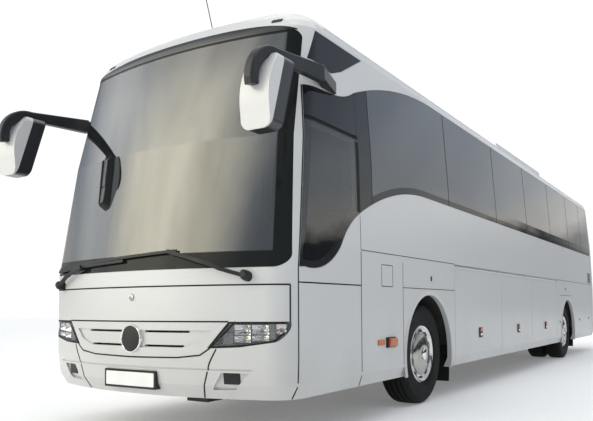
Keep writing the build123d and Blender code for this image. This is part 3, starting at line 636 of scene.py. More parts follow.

# A slot name for each material, which piece looks up where the piece names no other
SLOTS = {
    paint: "white_paint", plate_white: "white_paint", black: "dark_plastic", seal: "dark_plastic",
    frit: "dark_plastic", arm_grey: "dark_plastic", grey: "mid_grey_plastic", chrome: "reflector",
    shaded_chrome: "reflector", mirror_silver: "reflector", red: "lamp_red", lens: "lamp_clear",
    rubber: "tyre_rubber", steel: "steel", fabric: "seat_fabric", leather: "seat_fabric",
}

# Surfaces that trim and seams lie on
BOTH_SIDES = ("flap_rails", "rear_wall", "front_mask", "front_bumper")
SKINS = {
    1: skin(from_left, "driver_panel", "side_wall_left", "lower_panels_left", "luggage_flap_left_1",
            "luggage_flap_left_2", "luggage_flap_left_3", *BOTH_SIDES),
    -1: skin(from_right, "side_wall_right", "lower_panels_right", "luggage_flap_right_1",
             "luggage_flap_right_2", "front_door", "mid_door", *BOTH_SIDES),
}
GLASS = {1: skin(from_left, "side_glass_left"), -1: skin(from_right, "side_glass_right")}
DRIVER_SIDE = skin(from_left, "side_glass_left", "driver_panel", "side_wall_left")
FRONT = skin(from_front, "front_mask", "front_flap", "grille_panel", "front_bumper", "headlamp_lenses",
             "fog_lamps")
HEAD = skin(from_front, "front_mask", "windscreen", "roof", "side_wall_left", "side_wall_right")
SCREEN = skin(from_front, "windscreen", "front_mask", "front_flap")
BROW = skin(from_front, "roof", "front_mask")
LENS = skin(from_front, "headlamp_lenses")
REAR = skin(from_rear, "rear_wall", "rear_bumper", "engine_lid", "tail_lamps", "rear_window")
LID = skin(from_rear, "engine_lid")
ROOF = skin(from_top, "roof", "front_mask")
UNIT = skin(from_top, "roof_unit")
HATCHES = skin(from_top, "roof_fittings")

# Seams of the fixed side panels: corners as (station, height)
SKIRT, FLAP_LINE, SILL, RAIL_LINE = 0.335, 1.163, 1.447, 1.458
FRONT_ARCH_END, TAIL_SEAM = 0.735, 9.50
FILLER_FRONT, FILLER_REAR, FILLER_LOW, FILLER_TOP = -1.097, -0.872, 1.166, 1.356
LEFT_BOLD = (
    ((-2.42, SKIRT), (-2.42, 1.27), (-2.27, 2.49), (-2.25, 2.65)),
    ((-1.48, SKIRT), (-1.48, SILL)),
    ((-2.415, FLAP_LINE), (-1.485, FLAP_LINE)),
)
FINE = (
    ((-0.648, SKIRT), (-0.648, 1.40)),
    ((-0.64, FLAP_LINE), (FRONT_ARCH_END, FLAP_LINE)),
    ((6.23, 1.18), (7.24, 1.18)),
    ((TAIL_SEAM, SKIRT), (TAIL_SEAM, 3.13)),
)
LEFT_FINE = FINE + (
    ((-1.48, RAIL_LINE), (FRONT_ARCH_END, RAIL_LINE)),
    ((5.975, RAIL_LINE), (9.49, RAIL_LINE)),
    ((FILLER_FRONT, FILLER_LOW), (FILLER_REAR, FILLER_LOW), (FILLER_REAR, FILLER_TOP),
     (FILLER_FRONT, FILLER_TOP), (FILLER_FRONT, FILLER_LOW)),
    ((-1.48, RAIL_LINE), (-1.48, 1.745)),
)
RIGHT_FINE = FINE + (
    ((-1.37, RAIL_LINE), (FRONT_ARCH_END, RAIL_LINE)),
    ((5.14, RAIL_LINE), (9.49, RAIL_LINE)),
    ((7.60, SKIRT), (7.60, SILL)),
)
BOLD_WIDTH, FINE_WIDTH = 0.014, 0.009
sealing("seams_left_bold", *[seam(SKINS[1], line, BOLD_WIDTH) for line in LEFT_BOLD])
sealing("seams_left_fine", *[seam(SKINS[1], line, FINE_WIDTH) for line in LEFT_FINE])
sealing("seams_right_fine", *[seam(SKINS[-1], line, FINE_WIDTH) for line in RIGHT_FINE])

# Seams of the front: flap, smile of the grille, bumper corners, as (x, height)
FLAP_LOW, FLAP_TOP, FLAP_HALF = 0.885, 1.145, 1.245
HALF_SMILE = ((0.90, FLAP_LOW), (0.705, 0.693), (0.63, 0.645), (0.44, 0.624), (0.0, 0.617))
CORNER_SEAM = ((0.757, 0.690), (0.700, 0.585), (0.655, 0.450), (0.612, SKIRT))


def mirrored(line):
    return tuple((-x, height) for x, height in line)


FLAP_SIDE = ((FLAP_HALF, FLAP_TOP), (FLAP_HALF, FLAP_LOW))
FRONT_LINES = (
    ((-FLAP_HALF, FLAP_TOP), (FLAP_HALF, FLAP_TOP)), ((-0.85, FLAP_LOW), (0.85, FLAP_LOW)),
    FLAP_SIDE, mirrored(FLAP_SIDE), CORNER_SEAM, mirrored(CORNER_SEAM),
    mirrored(HALF_SMILE) + HALF_SMILE[-2::-1],
)
sealing("seams_front", *[seam(FRONT, line, 0.013, 0.0018, 0.015) for line in FRONT_LINES])

# Black glass band over the windscreen's head, falling off to its ends
BAND_FOOT, BAND_RISE, BAND_HALF, BAND_END = 3.110, 0.086, 1.118, 1.135


def band_point(u, v):
    x = BAND_HALF * (2 * u - 1)
    rise = BAND_RISE * (1 - abs(x / BAND_END) ** 5)
    point, normal = HEAD(x, BAND_FOOT + rise * v)
    return point + normal * 0.0025


piece("screen_head_band", frit, slab(band_point, 6, 48, BACKWARD * 0.006), slot="tinted_glass")

# Rubber joints between the side panes, laid on the pane just ahead of each
JOINTS = (0.640, 2.430, 4.030, 5.660, 7.210, 8.520)
JOINT_FOOT, JOINT_TALL, JOINT_STEPS = 2.104, 1.018, 24
JOINT_SHIFT = 0.006
for label, side in SIDES:
    strips = []
    for station in JOINTS:
        heights = [JOINT_FOOT + JOINT_TALL * step / JOINT_STEPS for step in range(JOINT_STEPS + 1)]
        hits = [GLASS[side](station - JOINT_SHIFT, height) for height in heights]
        rows = [(hit[0] + BACKWARD * JOINT_SHIFT, hit[1]) for hit in hits if hit]
        if rows:
            strips.append(strip(rows, 0.020, 0.0008, 0.003))
    sealing("pane_joints_" + label, *strips)

# Blank number plates in black holders
PLATE_HALF = (0.26, 0.056)
PLATE_CORNER = 0.008


def upright(outline, centre, y):
    return [Vector((centre[0] + a, y, centre[1] + b)) for a, b in outline]


def number_plate(name, meet, centre, outward, proud):
    outline = rounded_box(PLATE_HALF[0] + 0.014, PLATE_HALF[1] + 0.013, PLATE_CORNER)
    root = [meet(centre[0] + a, centre[1] + b)[0] - BACKWARD * (outward * 0.004) for a, b in outline]
    face = outward * (max(outward * point.y for point in root) + proud)
    piece(name + "_holder", black, sweep([root, upright(outline, centre, face)]))
    outline = rounded_box(PLATE_HALF[0] - 0.004, PLATE_HALF[1] - 0.004, PLATE_CORNER)
    rim = [(a * 0.985, b * 0.95) for a, b in outline]
    layers = ((outline, -0.006), (outline, 0.0015), (rim, 0.0025))
    piece(name, plate_white, sweep([upright(line, centre, face + outward * out_by)
                                    for line, out_by in layers]))


number_plate("front_plate", FRONT, (-0.026, 0.450), -1, 0.020)
number_plate("rear_plate", REAR, (0.0, 0.45), 1, 0.008)

# Bare round disc on the grille, and the flap's lock: rows of (distance ahead of the skin, radius)
RING_PROFILE = ((-0.01, 0.108), (0.022, 0.108), (0.028, 0.104), (0.028, 0.099), (0.022, 0.096))
DISC_PROFILE = ((-0.01, 0.098), (0.022, 0.097), (0.026, 0.066), (0.028, 0.012))
LOCK_PROFILE = ((-0.006, 0.026), (0.004, 0.026), (0.008, 0.022), (0.009, 0.010), (0.006, 0.008))
disc_middle, _ = FRONT(0, 0.755)
lock_middle, _ = FRONT(0, 1.066)
piece("blank_disc_ring", chrome, disc(disc_middle, -BACKWARD, UPWARD, RING_PROFILE))
piece("blank_disc", black, disc(disc_middle, -BACKWARD, UPWARD, DISC_PROFILE))
piece("flap_lock", shaded_chrome, disc(lock_middle, -BACKWARD, UPWARD, LOCK_PROFILE), smooth=30)

# Wipers: pivot, bent arm and blade on the windscreen
HUB_PROFILE = ((-0.01, 0.040), (0.030, 0.038), (0.055, 0.034), (0.066, 0.022))
ARM_LIFT, BLADE_LIFT, RUBBER_LIFT = 0.045, 0.018, 0.006


def lifted(places, lift):
    hits = [SCREEN(*place) for place in places]
    return [(point + normal * lift, normal) for point, normal in hits]


def wiper(name, pivot, elbow, tip, blade_start, blade_end):
    arm = lifted(along(pivot, elbow, 0.06) + along(elbow, tip, 0.06), ARM_LIFT)
    base, _ = SCREEN(*pivot)
    _, outward = arm[-1]
    hub = disc(base, outward, UPWARD, HUB_PROFILE, 20)
    blade = along(blade_start, blade_end, 0.05)
    piece(name, black, bar(arm, 0.028, 0.020), hub, bar(lifted(blade, BLADE_LIFT), 0.022, 0.012),
          bar(lifted(blade, RUBBER_LIFT), 0.006, 0.014), smooth=35)


wiper("wiper_left", (0.985, 1.205), (0.62, 1.315), (0.36, 1.392), (0.42, 1.400), (-1.08, 1.318))
wiper("wiper_right", (-1.02, 1.175), (-0.86, 1.25), (-0.62, 1.315), (-1.10, 1.300), (-0.10, 1.345))

# Handles of the luggage flaps, each with an amber marker and a lever
HANDLE_STATIONS = {"left": (1.62, 3.36, 5.06), "right": (1.62, 3.36)}
# name, material, height, half size, corner radius, how far proud
HANDLE_PARTS = (("_handle", black, 0.668, (0.055, 0.060), 0.010, 0.012),
                ("_marker", amber, 0.700, (0.040, 0.020), 0.006, 0.018),
                ("_lever", chrome, 0.645, (0.030, 0.014), 0.008, 0.017))
for label, side in SIDES:
    for number, station in enumerate(HANDLE_STATIONS[label], 1):
        body = f"luggage_flap_{label}_{number}"
        for part, material, height, half, radius, proud in HANDLE_PARTS:
            plate = patch(SKINS[side], (station, height), half, radius, proud)
            piece(body + part, material, plate, body=body)

# Side markers, repeaters and flap locks; markers as place and half size
MARKERS = (((-1.121, 0.674), (0.060, 0.025)), ((6.18, 0.70), (0.030, 0.018)),
           ((8.05, 0.71), (0.030, 0.018)), ((9.12, 0.72), (0.030, 0.018)))
for label, side in SIDES:
    meet = SKINS[side]
    markers = [patch(meet, place, half, 0.006, 0.010) for place, half in MARKERS]
    piece("side_markers_" + label, amber, *markers)
    piece("repeater_base_" + label, black, patch(meet, (-0.932, 0.668), (0.092, 0.046), 0.010, 0.016))
    piece("repeater_" + label, amber, patch(meet, (-0.922, 0.668), (0.078, 0.038), 0.010, 0.036, 0.010))
    piece("flap_locks_" + label, black, patch(meet, (0.05, 1.27), (0.014, 0.026), 0.010, 0.006),
          patch(meet, (6.73, 1.30), (0.012, 0.020), 0.008, 0.006))

# Flared lip round each wheel arch: rows of (width past the arch edge, distance proud of the side)
ARCH_RADIUS, ARCH_START, ARCH_SWEEP, ARCH_STEPS = 0.600, -17, 214, 60
LIP = ((-0.002, -0.040), (-0.004, 0.004), (0.004, 0.010), (0.022, 0.009), (0.036, 0.001), (0.030, -0.006))
for label, side in SIDES:
    lips = []
    for _, station in AXLES:
        rings = []
        for turn in range(ARCH_STEPS + 1):
            angle = radians(ARCH_START + ARCH_SWEEP * turn / ARCH_STEPS)
            rings.append([about_axle(side * (HALF_WIDTH + proud), station, ARCH_RADIUS + grow, angle)
                          for grow, proud in LIP])
        lips.append(sweep(rings))
    piece("arch_lips_" + label, paint, *lips)

# Rubber mudflaps behind the wheels: station and foot of each
MUDFLAPS = ((0.655, 0.165), (7.60, 0.185))
MUD_TOP, MUD_INNER, MUD_OUTER = 0.60, 0.90, 1.22
MUD_THICK, MUD_BEND, MUD_STEPS = 0.006, 0.018, 8
for label, side in SIDES:
    flaps = []
    for station, foot in MUDFLAPS:
        rings = []
        for step in range(MUD_STEPS + 1):
            share = step / MUD_STEPS
            height = MUD_TOP + (foot - MUD_TOP) * share
            front = at(station) + MUD_BEND * sin(share * pi)
            corners = ((MUD_INNER, 0), (MUD_OUTER, 0), (MUD_OUTER, MUD_THICK), (MUD_INNER, MUD_THICK))
            rings.append([Vector((side * x, front + depth, height)) for x, depth in corners])
        flaps.append(sweep(rings))
    piece("mudflaps_" + label, rubber, *flaps)

# Tyres with road tread, replacing the plain ones: rows of (distance from the middle, radius)
TREAD_HALF = [
    (0.0, 0.5045), (0.022, 0.5045), (0.024, 0.494), (0.034, 0.494), (0.036, 0.5045), (0.074, 0.503),
    (0.076, 0.492), (0.086, 0.492), (0.088, 0.502), (0.112, 0.4965), (0.124, 0.486), (0.134, 0.470)]
WALL_HALF = [
    (0.138, 0.452), (0.1405, 0.450), (0.1415, 0.440), (0.1400, 0.436), (0.1445, 0.400), (0.1455, 0.386),
    (0.1440, 0.360), (0.1395, 0.340), (0.1410, 0.334), (0.1360, 0.318), (0.1240, 0.300), (0.112, 0.2865)]
INNER_HALF = [(0.108, 0.2865), (0.10, 0.33), (0.0, 0.44)]
TREAD_BLOCKS, NOTCH = 64, 0.006


def other_half(profile):
    return [(-across, radius) for across, radius in reversed(profile)]


def in_shoulder(across, radius):
    return 0.09 < abs(across) < 0.1125 and radius > 0.49


def tyre_mesh(x, station):
    half = TREAD_HALF + WALL_HALF
    profile = other_half(half[1:]) + half + INNER_HALF + other_half(INNER_HALF[:-1])
    rings = []
    for turn in range(TREAD_BLOCKS * 2):
        angle = pi * turn / TREAD_BLOCKS
        cut = NOTCH if turn % 2 else 0.0
        rings.append([about_axle(x + across, station, radius - cut * in_shoulder(across, radius), angle)
                      for across, radius in profile])
    return sweep(rings, closed=True)


# axle, station, distances from the middle of the coach, node
TYRES = (("front", 0, (WHEEL_X,), "front_tyre_"), ("rear", WHEELBASE, (WHEEL_X, TWIN_X), "rear_tyres_"))
for label, side in SIDES:
    for axle, station, places, node in TYRES:
        tyre = piece("tread_" + axle + "_" + label, rubber, *[tyre_mesh(side * x, station) for x in places],
                     body=axle + "_wheel_" + label, smooth=32)
        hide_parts(node + label)

# Wheel trims with hand holes, domes and bare hub caps: rows of (distance outward, radius); the hand holes
# are black pads, painted shade in the openings
TRIM = [(0.096, 0.268), (0.112, 0.284), (0.122, 0.290), (0.127, 0.283), (0.124, 0.268), (0.112, 0.250),
        (0.106, 0.236), (0.110, 0.220), (0.108, 0.206), (0.088, 0.206), (0.084, 0.250)]
HUB_FACE = {"front": 0.142, "rear": 0.130}
HOLES, HOLE_RADIUS, HOLE_FACE = 10, 0.243, 0.0965


# a black pad sunk in the trim's face: painted shade where the hand hole opens onto the wheel behind
def hand_hole(side, station, middle):
    rings = []
    for depth, share in ((0.0, 1.0), (0.0135, 1.0), (0.0150, 0.86)):
        outline = rounded_box(0.15 * share, 0.017 * share, 0.014 * share)
        x = side * (WHEEL_X + HOLE_FACE + depth)
        rings.append([about_axle(x, station, HOLE_RADIUS + b, middle + a) for a, b in outline])
    return sweep(rings)


for label, side in SIDES:
    for axle, station in AXLES:
        body = axle + "_wheel_" + label
        hub = HUB_FACE[axle]
        dome = [(0.096, 0.216), (0.120, 0.214), (0.126, 0.204), (0.136, 0.160), (0.143, 0.120),
                (hub + 0.006, 0.086), (hub + 0.005, 0.056), (hub - 0.020, 0.056), (0.090, 0.200)]
        cap = [(hub - 0.004, 0.064), (hub + 0.014, 0.060), (hub + 0.020, 0.046), (hub + 0.022, 0.004),
               (hub - 0.006, 0.004)]
        holes = [hand_hole(side, station, 2 * pi * (turn + 0.5) / HOLES) for turn in range(HOLES)]
        bright = {"body": body, "slot": "wheel_steel", "smooth": 35}
        piece("trim_" + body, polished, lathe(TRIM, side, station), **bright)
        piece("holes_" + body, black, *holes, body=body)
        piece("dome_" + body, shaded_chrome, lathe(dome, side, station), **bright)
        piece("cap_" + body, chrome, lathe(cap, side, station, 40), **bright)

# Headlamps: chrome cells, bulbs and grey corners behind each lens, and a black border round it
# cells as inner and outer x, foot and head; the corners with their depth behind the lens and bowl
CELLS = ((0.884, 1.000, 0.790, 0.862), (1.010, 1.126, 0.796, 0.862),
         (0.884, 1.000, 0.738, 0.784), (1.010, 1.126, 0.750, 0.788))
INDICATOR_CELL = (1.172, 1.222, 0.800, 0.866)
DIVIDER_CELL = (1.130, 1.168, 0.764, 0.868)
CORNER_CELLS = ((0.800, 0.876, 0.722, 0.806, 0.014, 0.006), (0.846, 0.878, 0.812, 0.868, 0.014, 0.004))
LENS_LINES = (((0.855, 0.880), (0.700, 0.700), (0.930, 0.711), (1.165, 0.746), (1.220, 0.806)),
              ((0.862, 0.878), (1.225, 0.878)))


def lamp_cell(side, x0, x1, z0, z1, behind, depth):
    def place(u, v):
        point, _ = LENS(side * (x0 + (x1 - x0) * u), z0 + (z1 - z0) * v)
        bowl = (1 - (2 * u - 1) ** 2) * (1 - (2 * v - 1) ** 2)
        return point + BACKWARD * (behind + depth * bowl)

    return slab(place, 8, 8, BACKWARD * 0.004)


def bulb(side, x, z, behind, radius):
    point, _ = LENS(side * x, z)
    angles = [pi * step / 8 for step in range(1, 8)]
    profile = [(radius * cos(angle) - behind, radius * sin(angle)) for angle in angles]
    return disc(point, -BACKWARD, UPWARD, profile, 16)


for label, side in SIDES:
    cells = [lamp_cell(side, *cell, 0.016, 0.036) for cell in CELLS]
    piece("reflectors_" + label, chrome, *cells, lamp_cell(side, *INDICATOR_CELL, 0.014, 0.020), smooth=50)
    bulbs = [bulb(side, (x0 + x1) / 2, (z0 + z1) / 2, 0.034, 0.013) for x0, x1, z0, z1 in CELLS]
    piece("bulbs_" + label, lens, *bulbs)
    piece("indicator_bulb_" + label, amber, bulb(side, 1.196, 0.826, 0.026, 0.012))
    piece("lamp_divider_" + label, grey, lamp_cell(side, *DIVIDER_CELL, 0.010, 0.004))
    piece("lamp_corner_" + label, grey, *[lamp_cell(side, *cell) for cell in CORNER_CELLS])
    lines = [tuple((side * x, height) for x, height in line) for line in LENS_LINES]
    sealing("lens_border_" + label, *[seam(LENS, line, 0.016, 0.0012, 0.03) for line in lines])

# Black bar and rear frame of the driver's window
WINDOW_LINES = (((-2.266, BAR_Z), (-1.500, BAR_Z)), ((-1.497, BAR_Z + 0.02), (-1.497, 1.775)))
sealing("window_frame_left", *[seam(DRIVER_SIDE, line, 0.064, 0.0025, 0.03, 0.006) for line in WINDOW_LINES])

# Black rims, glass and split line of the outside mirrors
MIRROR_X, MIRROR_HALF, MIRROR_CORNER = 1.320, 0.116, 0.062
MIRROR_LOW, MIRROR_TOP = 2.125, 2.650
SPLIT_Z, SPLIT_HALF, SPLIT_TALL, SPLIT_DEEP = MIRROR_LOW + 0.17, 0.104, 0.008, 0.005
# growth of the outline, distance ahead of the back face
RIM_ROWS = ((-0.006, 0.004), (-0.002, -0.001), (-0.002, -0.012), (-0.007, -0.017), (-0.014, -0.014),
            (-0.015, 0.004))
MIRROR_ROWS = ((-0.012, 0.003), (-0.012, -0.004), (-0.016, -0.005))


def mirror_ring(side, grow, ahead_by):
    middle = (MIRROR_LOW + MIRROR_TOP) / 2
    half = (MIRROR_TOP - MIRROR_LOW) / 2
    ring = []
    for a, b in rounded_box(MIRROR_HALF + grow, half + grow, MIRROR_CORNER + grow, 6):
        height = middle + b
        ring.append(Vector((side * (MIRROR_X + a), mirror_back(height) - ahead_by, height)))
    return ring


for label, side in SIDES:
    rim = sweep([mirror_ring(side, *row) for row in RIM_ROWS], closed=True)
    piece("mirror_rim_" + label, arm_grey, rim)
    piece("mirror_glass_" + label, mirror_silver, sweep([mirror_ring(side, *row) for row in MIRROR_ROWS]))
    foot = SPLIT_Z - SPLIT_TALL / 2
    face = mirror_back(foot) + 0.0035
    corners = ((-SPLIT_HALF, 0), (SPLIT_HALF, 0), (SPLIT_HALF, SPLIT_DEEP), (-SPLIT_HALF, SPLIT_DEEP))
    split = [Vector((side * (MIRROR_X + a), face + depth, foot)) for a, depth in corners]
    rise = Vector((0, 0.0025, SPLIT_TALL))
    piece("mirror_split_" + label, arm_grey, sweep([split, [point + rise for point in split]]))

# Tail: lamp cells, reflectors, intake slats, brake lamp, lid handle, plate lamp, seam
LAMP_X, LAMP_HALF, LAMP_CORNER, LAMP_PROUD, LAMP_EDGE = 1.060, (0.060, 0.078), 0.030, 0.010, 0.008
INDICATOR_Z, STOP_Z, REVERSE_Z = 1.325, (1.155, 0.985), 0.860
SLATS, SLAT_STATION, SLAT_LOW, SLAT_PITCH = 7, 9.27, 1.50, 0.032


def tail_lamp(side, height):
    return patch(REAR, (side * LAMP_X, height), LAMP_HALF, LAMP_CORNER, LAMP_PROUD, LAMP_EDGE)


for label, side in SIDES:
    piece("tail_indicator_" + label, amber, tail_lamp(side, INDICATOR_Z))
    piece("tail_stop_" + label, red, *[tail_lamp(side, height) for height in STOP_Z])
    reverse = patch(REAR, (side * LAMP_X, REVERSE_Z), (0.056, 0.036), 0.020, LAMP_PROUD, LAMP_EDGE)
    piece("tail_reverse_" + label, lens, reverse)
    reflector = patch(REAR, (side * 0.93, 0.40), (0.075, 0.022), 0.008, 0.008, 0.004)
    piece("tail_reflector_" + label, red, reflector)
    slats = [patch(SKINS[side], (SLAT_STATION, SLAT_LOW + SLAT_PITCH * row), (0.15, 0.009), 0.006, 0.006)
             for row in range(SLATS)]
    piece("intake_slats_" + label, black, *slats)
piece("high_brake_lamp", red, patch(REAR, (0, 3.050), (0.28, 0.018), 0.012, 0.012, 0.004))
piece("lid_handle", black, patch(REAR, (0, 1.450), (0.11, 0.024), 0.018, 0.013, 0.008), body="engine_lid")
piece("plate_lamp", black, patch(REAR, (0, 0.545), (0.15, 0.009), 0.006, 0.006))
sealing("seam_rear", seam(REAR, ((-1.10, 1.80), (1.10, 1.80)), 0.008, 0.0012, 0.03))

# Dark screen behind the lid's louvres
LOUVRE_HALF, LOUVRE_FOOT, LOUVRE_TALL = 0.66, 0.78, 0.52
LID_EDGE = 0.76


def louvre_point(u, v):
    x = LOUVRE_HALF * (2 * u - 1)
    height = LOUVRE_FOOT + LOUVRE_TALL * v
    point, _ = LID(x, LID_EDGE)
    lean = 0.0 if height < 1.27 else -0.004
    return Vector((x, point.y - 0.052 + lean, height))


piece("louvre_screen", black, slab(louvre_point, 6, 8, BACKWARD * -0.004), body="engine_lid")

# Tail pipe under the bumper: rows of (station, height)
PIPE_X, PIPE_RADIUS, MOUTH_RADIUS = -0.62, 0.055, 0.047
PIPE = ((9.30, 0.43), (9.75, 0.42), (9.98, 0.40), (10.06, 0.365))
MOUTH = ((10.050, 0.3712), (10.0625, 0.3634))


def pipe_path(rows):
    return [Vector((PIPE_X, at(station), height)) for station, height in rows]


piece("tail_pipe", steel, tube(pipe_path(PIPE), PIPE_RADIUS))
piece("tail_pipe_mouth", black, tube(pipe_path(MOUTH), MOUTH_RADIUS))

# Roof: fan wells and guards on the cooling unit, hatch lids, drip rails, position lamps
FAN_X, FAN_STATIONS = 0.38, (4.75, 5.60, 6.45)
WELL_PROFILE = ((-0.004, 0.235), (0.003, 0.235), (0.004, 0.225))
GUARD_RADII, GUARD_WIRE = (0.232, 0.180, 0.128, 0.076), 0.010
GUTTER_X, GUTTER_FRONT, GUTTER_REAR = 1.150, -1.85, 9.70
wells = []
guards = []
for station in FAN_STATIONS:
    for x in (FAN_X, -FAN_X):
        middle, _ = UNIT(x, station)
        wells.append(disc(middle, UPWARD, BACKWARD, WELL_PROFILE))
        for outer in GUARD_RADII:
            inner = outer - GUARD_WIRE
            profile = ((0.001, outer), (0.008, outer), (0.008, inner), (0.001, inner))
            guards.append(disc(middle, UPWARD, BACKWARD, profile))
piece("fan_wells", black, *wells)
piece("fan_guards", grey, *guards)
piece("hatch_lids", grey, *[patch(HATCHES, (0, station), (0.270, 0.270), 0.05, 0.018, 0.012, steps=5)
                            for station in (1.40, 8.40)])
gutters = [((side * GUTTER_X, GUTTER_FRONT), (side * GUTTER_X, GUTTER_REAR)) for _, side in SIDES]
piece("drip_rails", paint, *[seam(ROOF, line, 0.014, 0.006, 0.15) for line in gutters])
piece("position_lamps", black, *[patch(BROW, (side * 0.935, 3.215), (0.045, 0.014), 0.008, 0.004, sink=0.003)
                                 for _, side in SIDES])

# Seats: crowned cushions, backs with bolsters and head pads, in place of the plain ones
DECK_TOP, CAB_FLOOR, DRIVER_X, DRIVER_STATION = 1.350, 0.850, 0.680, -1.990
ROWS, FIRST_ROW, ROW_PITCH = 12, -0.700, 0.790
BENCHES, BENCH_PLACES, PLACE_WIDTH = (0.320, -1.180), (0.215, 0.645), 0.430
# stations on the door side that have no bench: by the front door, and by the middle door
FRONT_ENTRY, MID_ENTRY_FRONT, MID_ENTRY_REAR = -0.4, 3.315, 5.225
RECLINE = Vector((0, 0.19, 0.705)).normalized()
FACING = Vector((0, -RECLINE.z, RECLINE.y))
# share of the half size across, and height in the crown's direction
CROWN = ((0.50, -1.0), (0.90, -0.94), (1.0, -0.62), (1.0, 0.25), (0.975, 0.56), (0.90, 0.79), (0.74, 0.92),
         (0.46, 0.985), (0.12, 1.0))
SQUARENESS = 0.45


def squared(value):
    return copysign(abs(value) ** SQUARENESS, value)


def pillow(origin, lengthwise, crown, half, turns=20):
    # a rounded pad with a swollen face, half its size across, lengthwise and in the crown's direction
    rings = []
    for share, rise in CROWN:
        ring = []
        for turn in range(turns):
            angle = 2 * pi * turn / turns
            a = squared(cos(angle)) * share * half[0]
            b = squared(sin(angle)) * share * half[1]
            ring.append(origin + LEFTWARD * a + lengthwise * b + crown * (rise * half[2]))
        rings.append(ring)
    return sweep(rings)


def seat(x, station, base, width):
    # cloth parts and leather parts of one seat; station and base are those of its front edge and floor
    root = Vector((x, at(station), base))
    back = root + Vector((0, 0.520, 0.640))
    half = width / 2 - 0.008
    soft = [pillow(root + Vector((0, 0.232, 0.392)), BACKWARD, UPWARD, (half, 0.228, 0.060)),
            pillow(back, RECLINE, FACING, (half - 0.006, 0.262, 0.046))]
    covered = []
    for side in (1, -1):
        wing = back + LEFTWARD * (side * (half - 0.038)) + FACING * 0.020
        covered.append(pillow(wing, RECLINE, FACING, (0.036, 0.240, 0.036)))
        thigh = root + Vector((side * (half - 0.034), 0.215, 0.428))
        covered.append(pillow(thigh, BACKWARD, UPWARD, (0.032, 0.205, 0.024)))
    pad = back + RECLINE * 0.350 + FACING * 0.006
    covered.append(pillow(pad, RECLINE, FACING, (half - 0.050, 0.092, 0.044)))
    return soft, covered


def stand(x0, x1, station, base):
    return box_mesh((x0, at(station + 0.150), base), (x1, at(station + 0.330), base + 0.335))


# x, station, floor and width of each seat, the driver's last
places = []
stands = []
for row in range(ROWS):
    station = FIRST_ROW + ROW_PITCH * row
    for x0 in BENCHES:
        if x0 < 0 and (station < FRONT_ENTRY or MID_ENTRY_FRONT < station < MID_ENTRY_REAR):
            continue
        places += [(x0 + place, station, DECK_TOP, PLACE_WIDTH) for place in BENCH_PLACES]
        stands.append(stand(x0 + 0.300, x0 + 0.520, station, DECK_TOP))
        aisle = 0.018 if x0 > 0 else 0.842
        arm = Vector((x0 + aisle, at(station + 0.300), DECK_TOP + 0.610))
        stands.append(pillow(arm, BACKWARD, UPWARD, (0.016, 0.170, 0.020), 12))
places.append((DRIVER_X, DRIVER_STATION, CAB_FLOOR, 0.520))
stands.append(stand(DRIVER_X - 0.160, DRIVER_X + 0.160, DRIVER_STATION, CAB_FLOOR))
cloth = []
hide = []
for place in places:
    soft, covered = seat(*place)
    cloth += soft
    hide += covered
seat_cloth = piece("seat_cloth", fabric, *cloth, smooth=60)
seat_hide = piece("seat_hide", leather, *hide, smooth=60)
piece("seat_stands", grey, *stands)
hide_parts("seats")

# Dashboard: hood over the instruments as rows of (station, swell), and dark panels on the rear face
HOOD = ((-2.600, 0.78), (-2.560, 1.0), (-2.440, 1.0), (-2.410, 0.78))
HOOD_Z, HOOD_HALF, HOOD_RISE, HOOD_STEPS = 1.232, 0.240, 0.085, 16
DASH_REAR = at(-2.360)
hood = []
for station, swell in HOOD:
    ring = []
    for step in range(HOOD_STEPS + 1):
        angle = pi * step / HOOD_STEPS
        ring.append(Vector((DRIVER_X + HOOD_HALF * swell * cos(angle), at(station),
                            HOOD_Z + HOOD_RISE * swell * sin(angle))))
    hood.append(ring)
piece("instrument_hood", black, sweep(hood))
panels = [box_mesh((-0.10, DASH_REAR - 0.004, 1.02), (0.28, DASH_REAR + 0.006, 1.17))]
panels += [box_mesh((x - 0.09, DASH_REAR - 0.004, 1.09), (x + 0.09, DASH_REAR + 0.005, 1.16))
           for x in (-0.40, -0.75)]
piece("dash_panels", frit, *panels)

# Camera, solved from the photograph's frame of 593 x 421 pixels
FRAME_WIDTH, FRAME_HEIGHT = 593, 421
FOCAL_PIXELS = 657.88
CENTRE_PIXEL = (311.79, 273.93)
EYE = (3.8285, at(-6.3130), 0.9824)
YAW, PITCH, ROLL = 0.56124, 0.05093, -0.00543
SENSOR = 36.0
ahead = Vector((-sin(YAW) * cos(PITCH), cos(YAW) * cos(PITCH), sin(PITCH)))
level = Vector((cos(YAW), sin(YAW), 0))
plumb = level.cross(ahead)
right = cos(ROLL) * level + sin(ROLL) * plumb
up = cos(ROLL) * plumb - sin(ROLL) * level
lens_data = bpy.data.cameras.new("camera")
lens_data.sensor_width = SENSOR
lens_data.lens = SENSOR * FOCAL_PIXELS / FRAME_WIDTH
lens_data.shift_x = (FRAME_WIDTH / 2 - CENTRE_PIXEL[0]) / FRAME_WIDTH
lens_data.shift_y = (CENTRE_PIXEL[1] - FRAME_HEIGHT / 2) / FRAME_WIDTH
lens_data.clip_end = 200.0
camera = bpy.data.objects.new("camera", lens_data)
camera.matrix_world = Matrix.Translation(EYE) @ Matrix((right, up, -ahead)).transposed().to_4x4()
bpy.context.scene.collection.objects.link(camera)
bpy.context.scene.camera = camera

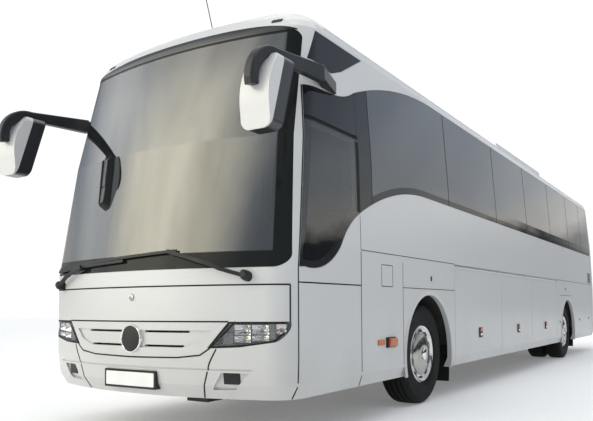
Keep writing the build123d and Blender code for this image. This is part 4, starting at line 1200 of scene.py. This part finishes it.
# Floor
REACH = 60.0
floor_mesh = bpy.data.meshes.new("floor")
floor_mesh.from_pydata([(-REACH, -REACH, 0), (REACH, -REACH, 0), (REACH, REACH, 0), (-REACH, REACH, 0)], [],
                       [(0, 1, 2, 3)])
floor = bpy.data.objects.new("floor", floor_mesh)
floor_look = new_material("pale_floor", Roughness=0.6, Emission_Color=(1, 1, 1), Emission_Strength=0.16)
vary_colour(noise(floor_look, 0.6), (0.88, 0.88, 0.88), (0.91, 0.91, 0.91))
floor_mesh.materials.append(floor_look)
bpy.context.scene.collection.objects.link(floor)
floor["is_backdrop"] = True

# Studio world: a white backdrop behind the coach, a warm cloud ahead of it, a cool sky over its left side
WHITE = (1.05, 1.05, 1.05)
HAZE, GLOW, BACKDROP = (-0.62, -0.58, 0.50), (-0.56, -0.71, 0.38), (-0.53, 0.85, 0.06)
# sine of the elevation and colour, from a dark low horizon up to overhead
SKY = ((0.0, (0.045, 0.047, 0.05)), (0.115, (0.055, 0.058, 0.06)), (0.145, (0.84, 0.82, 0.77)),
       (0.20, (0.68, 0.72, 0.76)), (0.35, (0.56, 0.63, 0.73)), (0.7, (0.48, 0.52, 0.58)),
       (1.0, (0.56, 0.59, 0.63)))
world = bpy.data.worlds.new("studio")
world.use_nodes = True
direction = add_node(world, "TexCoord", {}, "Generated")


def facing(target, start, end):
    # one where the direction points at the target, fading out between two cosines
    ways = {0: direction, 1: Vector(target).normalized()}
    return add_node(world, "VectorMath", ways, "Value", operation="DOT_PRODUCT").step(start, end)


cloud = noise(world, 2.6, 6.0, place="Generated", swirl=0.6)
twigs = noise(world, 26.0, 8.0, place="Generated")
_, _, elevation = parts_of(world, output="Generated")
sky = (elevation + (twigs - 0.5) * 0.07).ramp(*SKY)
patches = cloud.ramp((0.30, (0.74, 0.75, 0.77)), (0.70, (1.15, 1.14, 1.12)))
haze = cloud.ramp((0.30, (1.20, 1.28, 1.38)), (0.70, (2.35, 2.40, 2.35)))
warm = cloud.ramp((0.30, (2.6, 2.46, 1.98)), (0.70, (4.85, 4.65, 3.85)))
colour = mix(1.0, sky, patches, "MULTIPLY")
colour = mix(facing(HAZE, 0.74, 0.93), colour, haze)
colour = mix(facing(GLOW, 0.86, 0.995), colour, warm)
colour = mix(facing(BACKDROP, 0.70, 0.85), colour, WHITE)
colour = mix(add_node(world, "LightPath", {}, "Is Camera Ray"), colour, WHITE)
background = world.node_tree.nodes["Background"]
connect(background.inputs["Color"], colour)
background.inputs["Strength"].default_value = 1.0
bpy.context.scene.world = world
bpy.context.scene.view_settings.view_transform = "Standard"

# One large soft light overhead
LIGHT_PLACE = Vector((2.0, -2.0, 11.0))
light = bpy.data.lights.new("overhead", "AREA")
light.shape = "RECTANGLE"
light.size, light.size_y = 9, 14
light.energy = 450
light.color = (1.0, 0.99, 0.97)
lamp = bpy.data.objects.new("overhead", light)
lamp.location = LIGHT_PLACE
lamp.rotation_euler = (-LIGHT_PLACE).to_track_quat("-Z", "Y").to_euler()
bpy.context.scene.collection.objects.link(lamp)

boxes = [[list(corner) for corner in box] for box in (cad_box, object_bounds())]
